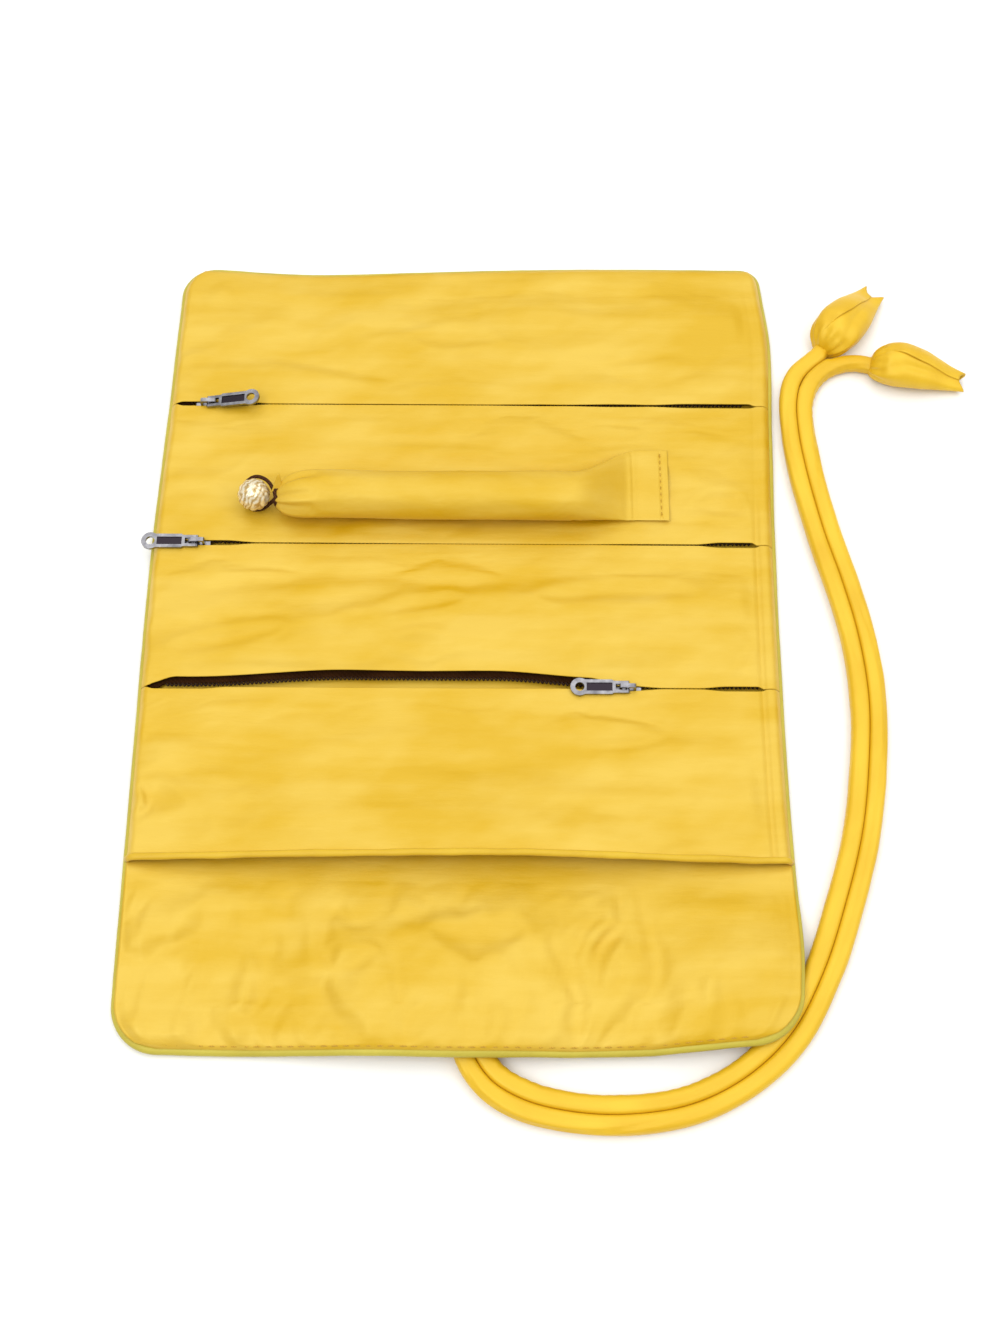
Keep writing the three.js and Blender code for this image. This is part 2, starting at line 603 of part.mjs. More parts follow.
// The tab along +X from its bar, with an eye round the bridge, a window sunk in each face and a hole
// in the tip
function pull() {
  const eyeHalf = BRIDGE_WIDTH / 2 + SIDE_CLEARANCE;
  const armHalf = eyeHalf + PULL_ARM;
  const bodyHalf = PULL_WIDTH / 2;
  const barHalf = PULL_BAR_DIAMETER / 2;
  const eyeEnd = BRIDGE_LENGTH / 2 + BRIDGE_BAR + SIDE_CLEARANCE;
  const shoulderX = eyeEnd + PULL_ARM;
  const tipX = PULL_LENGTH - PULL_TIP_RADIUS;
  const meet = Math.asin(bodyHalf / PULL_TIP_RADIUS);
  const outline = new THREE.Shape();
  outline.moveTo(0, -armHalf);
  outline.lineTo(eyeEnd, -armHalf);
  outline.quadraticCurveTo(shoulderX, -armHalf, shoulderX, -bodyHalf);
  outline.lineTo(tipX - PULL_TIP_RADIUS * Math.cos(meet), -bodyHalf);
  outline.absarc(tipX, 0, PULL_TIP_RADIUS, Math.PI + meet, 3 * Math.PI - meet, false);
  outline.lineTo(shoulderX, bodyHalf);
  outline.quadraticCurveTo(shoulderX, armHalf, eyeEnd, armHalf);
  outline.lineTo(0, armHalf);
  const hole = new THREE.Path();
  hole.absarc(tipX, 0, PULL_HOLE_RADIUS, 0, 2 * Math.PI, true);
  outline.holes.push(hole);
  const plate = extrude(outline, PULL_THICKNESS, 7);
  plate.translate(0, 0, -PULL_THICKNESS / 2);
  const eye = new THREE.BoxGeometry(eyeEnd - barHalf + CUT_MARGIN, 2 * eyeHalf, 2 * PULL_THICKNESS);
  eye.translate((eyeEnd + barHalf - CUT_MARGIN) / 2, 0, 0);
  const windowEnd = tipX - PULL_HOLE_RADIUS - PULL_WINDOW_RIM;
  const windows = [1, -1].map((face) => {
    const sunk = new THREE.BoxGeometry(windowEnd - shoulderX, PULL_WINDOW_WIDTH, 2 * PULL_WINDOW_DEPTH);
    return sunk.translate((shoulderX + windowEnd) / 2, 0, (face * PULL_THICKNESS) / 2);
  });
  const bar = new THREE.CylinderGeometry(barHalf, barHalf, 2 * armHalf, 12);
  return join(cut(plate, eye, ...windows), bar);
}

function zip(name, y, sliderX, shift, pullTurn) {
  const curved = shift === noBow ? 1 : OPEN_ZIP_STEPS;
  add(`zip_tape_upper_${name}`, tape(y, 1, UPPER_TAPE_WIDTH, shift, curved), TAPE);
  add(`zip_tape_lower_${name}`, tape(y, -1, LOWER_TAPE_WIDTH, noBow, 1), TAPE);
  add(`zip_coil_upper_${name}`, coil(y, 1, shift, curved), COIL);
  add(`zip_coil_lower_${name}`, coil(y, -1, noBow, 1), COIL);
  add(`zip_slider_${name}`, slider(), NICKEL).position.set(sliderX, y, 0);
  const tab = add(`zip_pull_${name}`, pull(), NICKEL);
  tab.position.set(sliderX, y, PULL_Z);
  tab.rotation.y = radians(pullTurn);
}
const CLOSED_SLIDER_X = SLIDER_LENGTH / 2 + SLIDER_END_GAP - ZIP_HALF;
zip('top', TOP_ZIP, CLOSED_SLIDER_X, noBow, -TOP_PULL_TILT);
zip('ring', RING_ZIP, CLOSED_SLIDER_X, noBow, 180);
zip('middle', MIDDLE_ZIP, MIDDLE_SLIDER_X, bow, 180);

// Ring bolster: round along its length, rounded at the free end, flat at the sewn end
const BOLSTER_LEFT = BOLSTER_LEFT_INSET - HALF_WIDTH;
const BOLSTER_RIGHT = HALF_WIDTH - BOLSTER_RIGHT_INSET;
const BOLSTER_Y = RING_ZIP + BOLSTER_ABOVE_ZIP;
const flattening = (x) => smooth((x - BOLSTER_RIGHT + BOLSTER_FLATTEN) / BOLSTER_FLATTEN);
function bolsterRing(x, shrinkWidth, shrinkHeight) {
  const f = flattening(x);
  const reach = clamp01((x - BOLSTER_LEFT) / BOLSTER_ROUNDING);
  const round = Math.sqrt(1 - BOLSTER_END_CLOSE * (1 - reach) ** 2);
  const halfHeight = lerp(BOLSTER_HEIGHT, TAB_THICKNESS, f) / 2;
  const halfWidth = lerp(BOLSTER_WIDTH, TAB_WIDTH, f) / 2;
  const z = BOLSTER_Z + halfHeight;
  const y = BOLSTER_Y + TAB_SHIFT * f;
  return ovalRing(x, y, z, halfWidth * round - shrinkWidth, halfHeight * round - shrinkHeight);
}
const endSteps = even(4).map((t) => t ** 2);
const flatSteps = even(5);
const bolsterStations = [
  ...endSteps.map((t) => BOLSTER_LEFT + t * BOLSTER_ROUNDING),
  ...flatSteps.map((t) => BOLSTER_RIGHT - BOLSTER_FLATTEN * (1 - t)),
];
const sleeveOuter = loft(bolsterStations.map((x) => bolsterRing(x, 0, 0)));
const wall = (x) => lerp(BOLSTER_WALL, FLAT_WALL, flattening(x));
const hollowStations = [
  BOLSTER_LEFT + BOLSTER_WALL,
  ...bolsterStations.slice(1, -1),
  BOLSTER_RIGHT,
  BOLSTER_RIGHT + CUT_MARGIN,
];
const sleeveHollow = loft(hollowStations.map((x) => {
  const shape = Math.min(x, BOLSTER_RIGHT);
  const ring = bolsterRing(shape, wall(shape), wall(shape));
  return ring.map((p) => p.setX(x));
}));
add('bolster_sleeve', cut(sleeveOuter, sleeveHollow), SATIN);
const stuffingEnd = BOLSTER_RIGHT - BOLSTER_FLATTEN / 2;
const stuffingStations = [
  BOLSTER_LEFT + BOLSTER_WALL + SEAM_GAP,
  ...bolsterStations.filter((x) => x > BOLSTER_LEFT + BOLSTER_WALL + SEAM_GAP && x < stuffingEnd),
];
const core = BOLSTER_WALL + SEAM_GAP;
add('bolster_stuffing', loft(stuffingStations.map((x) => bolsterRing(x, core, core))), WADDING);

// Flat end of the bolster, sewn down on the ring pocket
const tabLow = (x, y) => overThickness(ringLow)(x, y) + LAYER_GAP;
const tabPlan = (u, v) => [
  lerp(BOLSTER_RIGHT + 2 * SEAM_GAP, BOLSTER_RIGHT + 2 * SEAM_GAP + TAB_LENGTH, u),
  BOLSTER_Y + TAB_SHIFT + lerp(-TAB_WIDTH / 2, TAB_WIDTH / 2, v),
];
add('bolster_tab', sheet([0, 1], even(FRONT_ROWS), tabPlan, tabLow, at(BOLSTER_Z + TAB_THICKNESS)), SATIN);

// Bead on a short shank, and the elastic loop that goes over it
const BEAD_X = BOLSTER_LEFT - BEAD_FROM_BOLSTER;
const BEAD_FOOT = FRONT_TOP + RING_CROWN + LAYER_GAP;
const beadRadius = BEAD_DIAMETER / 2;
const shankRadius = BEAD_SHANK_DIAMETER / 2;
const beadSink = Math.sqrt(beadRadius ** 2 - shankRadius ** 2);
const beadCentre = BEAD_SHANK_HEIGHT + beadSink;
const beadStart = -Math.asin(beadSink / beadRadius);
const beadProfile = [
  new THREE.Vector2(0, 0),
  new THREE.Vector2(shankRadius, 0),
  ...even(8).slice(0, -1).map((t) => {
    const angle = lerp(beadStart, Math.PI / 2, t);
    return new THREE.Vector2(beadRadius * Math.cos(angle), beadCentre + beadRadius * Math.sin(angle));
  }),
  new THREE.Vector2(0, beadCentre + beadRadius),
];
const bead = new THREE.LatheGeometry(beadProfile, BEAD_LOBES * LOBE_SEGMENTS).rotateX(Math.PI / 2);
const beadPoints = bead.attributes.position;
for (let i = 0; i < beadPoints.count; i += 1) {
  const point = new THREE.Vector3().fromBufferAttribute(beadPoints, i);
  const valley = 1 - Math.abs(Math.sin((BEAD_LOBES * Math.atan2(point.y, point.x)) / 2));
  const fullness = Math.hypot(point.x, point.y) / beadRadius;
  const waist = 1 - BEAD_LOBE_DEPTH * valley * fullness;
  const winding = (radians(BEAD_TWIST) * (point.z - beadCentre)) / beadRadius;
  point.set(point.x * waist, point.y * waist, point.z).applyAxisAngle(UP, winding);
  beadPoints.setXYZ(i, point.x, point.y, point.z);
}
add('bead_button', bead, GOLD).position.set(BEAD_X, BOLSTER_Y, BEAD_FOOT);

const loopRadius = beadRadius + LOOP_CLEARANCE + LOOP_DIAMETER / 2;
const loopRoute = new Route((t) => {
  const angle = lerp(radians(LOOP_END_ANGLE), 2 * Math.PI - radians(LOOP_END_ANGLE), t);
  const along = loopRadius * Math.cos(angle);
  return [
    BEAD_X + along,
    BOLSTER_Y + loopRadius * Math.sin(angle),
    BEAD_FOOT + LOOP_HEIGHT + LOOP_SLOPE * (along + loopRadius),
  ];
});
add('elastic_loop', tube(loopRoute, LOOP_DIAMETER, PIPING_SIDES, LOOP_STEPS), ELASTIC);

// Tie cords, the flattened ends tacked under the flap, and the tulips
const onFloor = ([x, y]) => new THREE.Vector3(x, y, CORD_Z);
const spline = (points) => new THREE.CatmullRomCurve3(points.map(onFloor));
add('tie_cord_inner', tube(spline(INNER_CORD), CORD_DIAMETER, CORD_SIDES, CORD_STEPS), SATIN);
add('tie_cord_outer', tube(spline(OUTER_CORD), CORD_DIAMETER, CORD_SIDES, CORD_STEPS), SATIN);

const tackStart = INNER_CORD[0][1] + SEAM_GAP;
const tackTop = (x, y) => rise(x, y) - LAYER_GAP;
const tackLow = (x, y) =>
  lerp(CORD_Z - CORD_DIAMETER / 2, tackTop(x, y) - TACK_THIN_END, smooth((y - tackStart) / TACK_LENGTH));
const tackReach = CORD_DIAMETER / 2 + TACK_MARGIN;
const tackPlan = (u, v) => [
  lerp(OUTER_CORD[0][0] - tackReach, INNER_CORD[0][0] + tackReach, u),
  tackStart + v * TACK_LENGTH,
];
add('tie_tack', sheet(even(2), even(4), tackPlan, tackLow, tackTop), SATIN);

// A folded fabric bud: gathered neck, full belly, flat tip with an open mouth
function tulip() {
  const rings = even(TULIP_RINGS).map((t) => {
    const belly = Math.sin(Math.PI * t ** TULIP_LEAN) ** TULIP_TAPER;
    const halfWidth = (lerp(TULIP_NECK, TULIP_TIP_WIDTH, t) + (TULIP_WIDTH - TULIP_NECK) * belly) / 2;
    const halfHeight = (lerp(TULIP_NECK, TULIP_TIP_HEIGHT, t) + (TULIP_HEIGHT - TULIP_NECK) * belly) / 2;
    return ovalRing(t * TULIP_LENGTH, 0, halfHeight, halfWidth, halfHeight);
  });
  const mouth = new THREE.Shape();
  const mid = TULIP_TIP_HEIGHT / 2;
  mouth.moveTo(TULIP_LENGTH - TULIP_MOUTH_DEPTH, mid + TULIP_MOUTH_GAPE);
  mouth.lineTo(TULIP_LENGTH + CUT_MARGIN, mid - TULIP_MOUTH_GAPE / 2);
  mouth.lineTo(TULIP_LENGTH + CUT_MARGIN, mid + TULIP_MOUTH_GAPE / 2);
  const gape = extrude(mouth, 2 * TULIP_WIDTH, 1);
  gape.rotateX(Math.PI / 2).translate(0, TULIP_WIDTH, 0);
  return cut(loft(rings), gape);
}

function placeTulip(name, route) {
  const [end, before] = [route.at(-1), route.at(-2)].map(([x, y]) => new THREE.Vector2(x, y));
  const heading = end.clone().sub(before).normalize();
  const start = end.addScaledVector(heading, SEAM_GAP);
  const bud = add(name, tulip(), SATIN);
  bud.position.set(start.x, start.y, CORD_Z - CORD_DIAMETER / 2);
  bud.rotation.z = heading.angle();
}
placeTulip('tulip_inner', INNER_CORD);
placeTulip('tulip_outer', OUTER_CORD);

export default roll;
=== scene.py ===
import math

import bpy
import numpy as np
from mathutils import Matrix


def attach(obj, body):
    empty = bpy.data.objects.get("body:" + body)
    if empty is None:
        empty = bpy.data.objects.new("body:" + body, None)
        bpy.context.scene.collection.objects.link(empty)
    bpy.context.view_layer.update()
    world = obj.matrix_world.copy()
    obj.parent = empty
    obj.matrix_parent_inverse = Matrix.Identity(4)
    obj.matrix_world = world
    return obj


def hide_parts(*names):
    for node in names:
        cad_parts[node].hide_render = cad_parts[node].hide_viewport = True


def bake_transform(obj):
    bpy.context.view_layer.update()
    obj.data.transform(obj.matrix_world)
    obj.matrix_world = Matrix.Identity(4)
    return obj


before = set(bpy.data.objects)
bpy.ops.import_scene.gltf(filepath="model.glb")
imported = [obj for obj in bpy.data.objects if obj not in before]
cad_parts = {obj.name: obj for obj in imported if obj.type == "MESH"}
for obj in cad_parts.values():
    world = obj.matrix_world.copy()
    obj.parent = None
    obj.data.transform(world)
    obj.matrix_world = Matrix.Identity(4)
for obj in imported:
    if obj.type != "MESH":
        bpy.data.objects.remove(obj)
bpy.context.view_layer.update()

# Sizes are in millimetres and become metres when a mesh is made. X runs to the right, y to the far end.
MM = 0.001
TOP_ZIP, RING_ZIP, MIDDLE_ZIP, HEM = 75.0, 25.0, -23.0, -76.0
ZIPS = {"top": TOP_ZIP, "ring": RING_ZIP, "middle": MIDDLE_ZIP}
TOP_FOLD, RING_FOLD, MIDDLE_FOLD, HEM_FOLD = 67.5, 17.5, -30.5, -78.6
# Cloth turns within this distance of a fold line, which lies at this height.
BEND, FOLD_Z = 4.0, 6.0
# The mat without its piping: half its width, its far end and its near end
HALF, FAR, NEAR = 93.6, 128.3, -128.2
PIPING_X, PIPING_Y, PIPING_Z, PIPING_R, PIPING_STEP = 93.5, 128.4, 1.75, 1.35, 0.9
# Heights of the lining, of a pocket front, and of that front at its side seams
LINING_Z, FRONT_Z, FOOT_Z = 2.6, 5.62, 3.3
# Corner radii: both near corners, the far left one, the far right one
ROUND, FAR_LEFT, SHARP = 12.2, 10.0, 4.8
# Where one piece of the mat ends and the next begins, about halfway between folds
RING_MID, MIDDLE_MID, HEM_MID = 42.5, -6.5, -54.5
# Where each slider stands along its zip, how far its pull is turned in degrees, and the height of its eye
SLIDER_X = {"top": -82.5, "ring": -82.5, "middle": 48.5}
PULL_TURN, PULL_Z = {"top": -12, "ring": 180, "middle": 180}, 6.35
# Sunk window of a pull: where it starts and ends, half its width, and a height between its floor and the rim
WINDOW_START, WINDOW_END, WINDOW_HALF, WINDOW_Z = 4.5, 12.25, 1.36, 0.34


def clamp01(t):
    return np.clip(t, 0.0, 1.0)


def smooth(t):
    t = clamp01(t)
    return t * t * (3 - 2 * t)


def between(x, start, rising, end, falling):
    """1 from start to end, coming up over rising and going down over falling."""
    return smooth((x - start) / rising) * smooth((end - x) / falling)


def quarter(t):
    """Rises from 0 to 1 as a quarter of a wave does, steep first and then level."""
    return np.sin(clamp01(t) * np.pi / 2)


def hump(off, width):
    """A rounded bump, 1 high where off is 0."""
    return np.exp(-((off / width) ** 2))


def wrapped(angle):
    """The same angle, from half a turn back to half a turn on."""
    return np.angle(np.exp(1j * angle))


def circle(count):
    return np.arange(count) * 2 * np.pi / count


def lerp(a, b, t):
    return a + (b - a) * t


def waves(seed, count, shortest, longest, stretch=1.0):
    """A smooth height field made of seeded waves, about -1 to 1. Stretch over 1 draws it out along x."""
    rng = np.random.default_rng(seed)
    length = np.exp(rng.uniform(np.log(shortest), np.log(longest), count))
    angle = rng.uniform(0, 2 * np.pi, count)
    phase = rng.uniform(0, 2 * np.pi, count)
    kx = 2 * np.pi * np.cos(angle) / (length * stretch)
    ky = 2 * np.pi * np.sin(angle) / length
    share = length / np.sqrt((length**2).sum() / 2)

    def field(x, y):
        total = np.zeros(np.broadcast(x, y).shape)
        for a, b, c, s in zip(kx, ky, phase, share):
            total = total + s * np.cos(a * x + b * y + c)
        return total

    return field


CRUMPLE_X, CRUMPLE_Y, CRUMPLE_JITTER = 100.0, 140.0, 0.48


def facets(seed, cell_x, cell_y, tilt, crisp=6.0):
    """A crumpled height field in mm: patches of cloth that each lean their own way. Crisp is how sharply they
    meet."""
    rng = np.random.default_rng(seed)
    px, py = np.meshgrid(np.arange(-CRUMPLE_X, CRUMPLE_X, cell_x), np.arange(-CRUMPLE_Y, CRUMPLE_Y, cell_y))
    px = (px + rng.uniform(-CRUMPLE_JITTER, CRUMPLE_JITTER, px.shape) * cell_x).ravel()
    py = (py + rng.uniform(-CRUMPLE_JITTER, CRUMPLE_JITTER, py.shape) * cell_y).ravel()
    lean_x = rng.normal(0, tilt * cell_y / cell_x, px.size)
    lean_y = rng.normal(0, tilt, px.size)

    def field(x, y):
        top = np.zeros(x.shape)
        total = np.full(x.shape, 1e-12)
        for a, b, gx, gy in zip(px, py, lean_x, lean_y):
            weight = np.exp(-crisp * (((x - a) / cell_x) ** 2 + ((y - b) / cell_y) ** 2))
            top += weight * (gx * (x - a) + gy * (y - b))
            total += weight
        return top / total

    return field


def joined(*parts):
    """Points from their coordinates, each an array or one number."""
    return np.stack(np.broadcast_arrays(*parts), -1)


def add(name, data):
    """Puts a new object in the scene."""
    obj = bpy.data.objects.new(name, data)
    bpy.context.scene.collection.objects.link(obj)
    return obj


# Camera, with its place in metres and its angles in degrees

CAMERA_PLACE = (0.0107, -0.2258, 0.4791)
CAMERA_ABOVE, CAMERA_ROLL = 66.12, 0.3

camera_data = bpy.data.cameras.new("camera")
camera_data.sensor_width = 36.0
camera_data.lens = 47.02
camera_data.clip_start = 0.01
camera = add("camera", camera_data)
camera.matrix_world = (
    Matrix.Translation(CAMERA_PLACE)
    @ Matrix.Rotation(math.radians(90 - CAMERA_ABOVE), 4, "X")
    @ Matrix.Rotation(math.radians(CAMERA_ROLL), 4, "Z")
)
bpy.context.scene.camera = camera
bpy.context.scene.view_settings.view_transform = "Standard"


# Materials

class Shader:
    """A node material that is put together piece by piece."""

    def __init__(self, name):
        self.material = bpy.data.materials.new(name)
        self.material.use_nodes = True
        self.tree = self.material.node_tree
        self.bsdf = self.tree.nodes["Principled BSDF"]

    def put(self, socket, value):
        """Links a socket to another one, or gives it a value."""
        if isinstance(value, bpy.types.NodeSocket):
            self.tree.links.new(value, socket)
        else:
            socket.default_value = value

    def node(self, kind, output, inputs, **settings):
        """Adds a node and gives one of its outputs."""
        made = self.tree.nodes.new("ShaderNode" + kind)
        for key, value in settings.items():
            setattr(made, key, value)
        for key, value in inputs.items():
            self.put(made.inputs[key], value)
        return made.outputs[output]

    def mapped(self, place, **inputs):
        return self.node("Mapping", "Vector", {"Vector": place, **inputs})

    def flat(self, scale=(1, 1, 1), turn=0.0):
        """Place on the cloth in metres, turned by so many degrees and then scaled."""
        place = self.node("UVMap", "UV", {}, uv_map="cloth")
        if turn:
            place = self.mapped(place, Rotation=(0, 0, math.radians(turn)))
        return self.mapped(place, Scale=scale)

    def solid(self, scale=(1, 1, 1)):
        """Place in the piece in metres, scaled."""
        return self.mapped(self.node("TexCoord", "Object", {}), Scale=scale)

    def noise(self, place, detail=3.0, rough=0.5, swirl=0.0):
        inputs = {"Vector": place, "Scale": 1.0, "Detail": detail, "Roughness": rough, "Distortion": swirl}
        return self.node("TexNoise", "Fac", inputs)

    def bands(self, place, scale, direction, wobble=0.0):
        inputs = {"Vector": place, "Scale": scale, "Distortion": wobble}
        return self.node("TexWave", "Fac", inputs, wave_type="BANDS", bands_direction=direction)

    def math(self, operation, a, b=0.0):
        return self.node("Math", "Value", {0: a, 1: b}, operation=operation)

    def span(self, value, low, high, to_low, to_high):
        inputs = {"Value": value, "From Min": low, "From Max": high, "To Min": to_low, "To Max": to_high}
        return self.node("MapRange", "Result", inputs)

    def mix(self, factor, a, b):
        """A colour between two that are given as they show on screen, or come from another node."""
        colours = [rgb(*c) if isinstance(c, tuple) else c for c in (a, b)]
        return self.node("Mix", 2, {0: factor, 6: colours[0], 7: colours[1]}, data_type="RGBA")

    def bump(self, height, strength, distance, normal=None):
        inputs = {"Height": height, "Strength": strength, "Distance": distance}
        if normal is not None:
            inputs["Normal"] = normal
        return self.node("Bump", "Normal", inputs)

    def set(self, **values):
        for key, value in values.items():
            self.put(self.bsdf.inputs[key.replace("_", " ")], value)
        return self.material


def rgb(*screen):
    """A colour given as it shows on screen, 0 to 255."""
    return tuple(((c / 255 + 0.055) / 1.055) ** 2.4 if c > 10 else c / 255 / 12.92 for c in screen) + (1.0,)


def satin(name, light, deep, slub=0.25):
    """Satin: long floats along x, soft slanting patches painted paler and deeper yellow as a painted sheen
    that stands in for the shine changing across creases, and small pulls in the yarn.
    """
    s = Shader(name)
    # Painted sheen: random slanting and cloudy patches move the colour between the paler and the deeper
    # yellow, in place of the shine that changes as creases face the light.
    slant = s.noise(s.flat((20, 52, 1), -32))
    cloud = s.noise(s.flat((30, 36, 1)))
    tone = s.span(s.math("ADD", slant, cloud), 0.78, 1.22, 0.0, 1.0)
    floats = s.noise(s.flat((420, 5200, 1)), 2)
    streak = s.span(s.noise(s.flat((22, 150, 1)), 4), 0.3, 0.7, -0.35, 0.35)
    thread = s.math("ADD", streak, s.span(floats, 0.3, 0.7, -0.10, 0.10))
    colour = s.mix(s.math("ADD", tone, thread), deep, light)
    weave = s.bump(floats, 0.16, 0.00005)
    pulls = s.bump(s.noise(s.flat((60, 320, 1)), 5, 0.6), slub, 0.0006, weave)
    return s.set(
        Base_Color=colour, Roughness=s.span(floats, 0.25, 0.75, 0.42, 0.54), Normal=pulls, IOR=1.85,
        Specular_Tint=rgb(255, 252, 168), Anisotropic=0.4,
        Sheen_Weight=0.06, Sheen_Roughness=0.35, Sheen_Tint=rgb(255, 236, 150),
    )


def piping_satin(name, light, deep):
    """Bias-cut satin over cord: the floats run slantwise round it, and it is gathered a little."""
    s = Shader(name)
    cloud = s.noise(s.flat((60, 60, 1)))
    floats = s.noise(s.flat((500, 3200, 1), 45), 2)
    tone = s.math("ADD", s.span(cloud, 0.3, 0.7, 0.15, 0.85), s.span(floats, 0.3, 0.7, -0.14, 0.14))
    gather = s.bump(s.noise(s.flat((420, 90, 1))), 0.3, 0.0005)
    return s.set(
        Base_Color=s.mix(tone, deep, light), Roughness=s.span(floats, 0.25, 0.75, 0.4, 0.55),
        Normal=s.bump(floats, 0.2, 0.00006, gather),
        Specular_IOR_Level=0.3, Sheen_Weight=0.1, Sheen_Roughness=0.4,
    )


def woven_tape(name):
    """Zip tape: a tight rib across and a fine twill, worn unevenly."""
    s = Shader(name)
    both = s.math("MULTIPLY", s.bands(s.flat(), 520.0, "X", 0.6), s.bands(s.flat(), 420.0, "DIAGONAL", 0.4))
    worn = s.noise(s.flat((150, 300, 1)))
    tone = s.math("ADD", s.math("MULTIPLY", both, 0.5), s.span(worn, 0.3, 0.7, 0.0, 0.5))
    return s.set(
        Base_Color=s.mix(tone, (34, 16, 4), (60, 34, 13)), Roughness=s.span(both, 0.0, 1.0, 0.95, 0.8),
        Specular_IOR_Level=0.05, Normal=s.bump(both, 0.5, 0.0001),
    )


def coil_plastic(name):
    s = Shader(name)
    mottle = s.noise(s.solid((900, 900, 900)), 2)
    colour = s.mix(mottle, (34, 17, 6), (58, 34, 16))
    return s.set(Base_Color=colour, Roughness=s.span(mottle, 0.3, 0.7, 0.5, 0.65), Specular_IOR_Level=0.2)


def nickel(name, window=None):
    """Plated zinc: bright, with hairline scratches and dull patches. Window gives the place and turn of a
    pull whose sunk panel is dark."""
    s = Shader(name)
    hair = s.noise(s.solid((260, 5200, 2600)), 2)
    patch = s.noise(s.solid((420, 420, 420)))
    rough = s.math("ADD", s.span(patch, 0.35, 0.65, 0.15, 0.24), s.span(hair, 0.4, 0.6, 0.0, 0.05))
    colour = s.mix(s.span(patch, 0.3, 0.7, 0.0, 1.0), (112, 111, 116), (160, 159, 163))
    if window:
        place, turn = window
        local = s.node("Mapping", "Vector", {
            "Vector": s.node("TexCoord", "Object", {}),
            "Location": [c * MM for c in place], "Rotation": (0, math.radians(turn), 0),
        }, vector_type="TEXTURE")
        x, y, z = [s.node("SeparateXYZ", axis, {"Vector": local}) for axis in "XYZ"]
        sunk = s.math("LESS_THAN", s.math("ABSOLUTE", z), WINDOW_Z * MM)
        for inside in (
            s.math("GREATER_THAN", x, WINDOW_START * MM),
            s.math("LESS_THAN", x, WINDOW_END * MM),
            s.math("LESS_THAN", s.math("ABSOLUTE", y), WINDOW_HALF * MM),
        ):
            sunk = s.math("MULTIPLY", sunk, inside)
        colour = s.mix(sunk, colour, (52, 46, 52))
    return s.set(Base_Color=colour, Metallic=1.0, Roughness=rough, Normal=s.bump(hair, 0.12, 0.00004))


def scrolled_gold(name):
    """Dull gold bead with raised scrolls, smoother on top so that they shine. Their colour is painted paler
    as a highlight, and the deeper gold between them is painted shade in the recesses.
    """
    s = Shader(name)
    swirl = s.noise(s.solid((560, 560, 560)), 2, swirl=1.6)
    scroll = s.node("TexWave", "Fac", {
        "Vector": s.solid(), "Scale": 190.0, "Distortion": 9.0, "Detail": 1.0, "Detail Scale": 1.4,
    }, wave_type="RINGS", rings_direction="SPHERICAL")
    relief = s.math("ADD", s.math("MULTIPLY", scroll, 0.35), s.math("MULTIPLY", swirl, 0.65))
    # Painted highlight and shade: pale where the relief stands high, deeper gold in its hollows.
    colour = s.mix(s.span(relief, 0.3, 0.62, 0.0, 1.0), (190, 160, 100), (244, 234, 206))
    return s.set(Base_Color=colour, Metallic=0.6, Roughness=s.span(relief, 0.3, 0.7, 0.5, 0.34),
                 Normal=s.bump(relief, 0.3, 0.0003))


def braided_elastic(name):
    s = Shader(name)
    braid = s.bands(s.flat(), 520.0, "DIAGONAL")
    fuzz = s.noise(s.flat((2600, 2600, 1)), 2)
    tone = s.math("ADD", s.math("MULTIPLY", braid, 0.6), s.math("MULTIPLY", fuzz, 0.4))
    colour = s.mix(tone, (44, 24, 10), (84, 50, 24))
    return s.set(Base_Color=colour, Roughness=s.span(tone, 0.2, 0.8, 0.95, 0.8), Specular_IOR_Level=0.15,
                 Normal=s.bump(tone, 0.6, 0.0002))


def twisted_thread(name, light, deep):
    s = Shader(name)
    ply = s.bands(s.solid(), 900.0, "DIAGONAL")
    return s.set(Base_Color=s.mix(ply, deep, light), Roughness=s.span(ply, 0, 1, 0.75, 0.5),
                 Normal=s.bump(ply, 0.4, 0.00006))


SATIN = satin("satin", (211, 173, 62), (201, 156, 0))
COVER = satin("cover_satin", (210, 172, 54), (198, 152, 10))
CORD = satin("cord_satin", (224, 180, 34), (212, 164, 12), 0.15)
# The piping is the same yellow satin as the mat; its darker, greener colours are painted shade along the
# mat's edge.
PIPING = piping_satin("piping_satin", (196, 182, 70), (176, 160, 52))
BINDING = piping_satin("binding_satin", (214, 178, 46), (200, 160, 32))
TAPE = woven_tape("zip_tape")
COIL = coil_plastic("zip_coil")
NICKEL = nickel("nickel")
GOLD = scrolled_gold("gold_bead")
ELASTIC = braided_elastic("elastic")
THREAD = twisted_thread("thread", (208, 164, 46), (166, 124, 26))


# Mesh making

def make(name, points, faces, material, cloth=None):
    """A smooth mesh from points in millimetres. Cloth gives each point's place on its cloth, in metres."""
    mesh = bpy.data.meshes.new(name)
    points = np.asarray(points, float).reshape(-1, 3)
    mesh.from_pydata((points * MM).tolist(), [], faces)
    mesh.polygons.foreach_set("use_smooth", np.ones(len(mesh.polygons), bool))
    if cloth is not None:
        layer = mesh.uv_layers.new(name="cloth")
        corner = np.zeros(len(mesh.loops), int)
        mesh.loops.foreach_get("vertex_index", corner)
        place = np.asarray(cloth, float).reshape(-1, 2)
        layer.data.foreach_set("uv", place[corner].astype(np.float32).ravel())
    mesh.validate()
    mesh.update()
    mesh.materials.append(material)
    obj = add(name, mesh)
    return obj


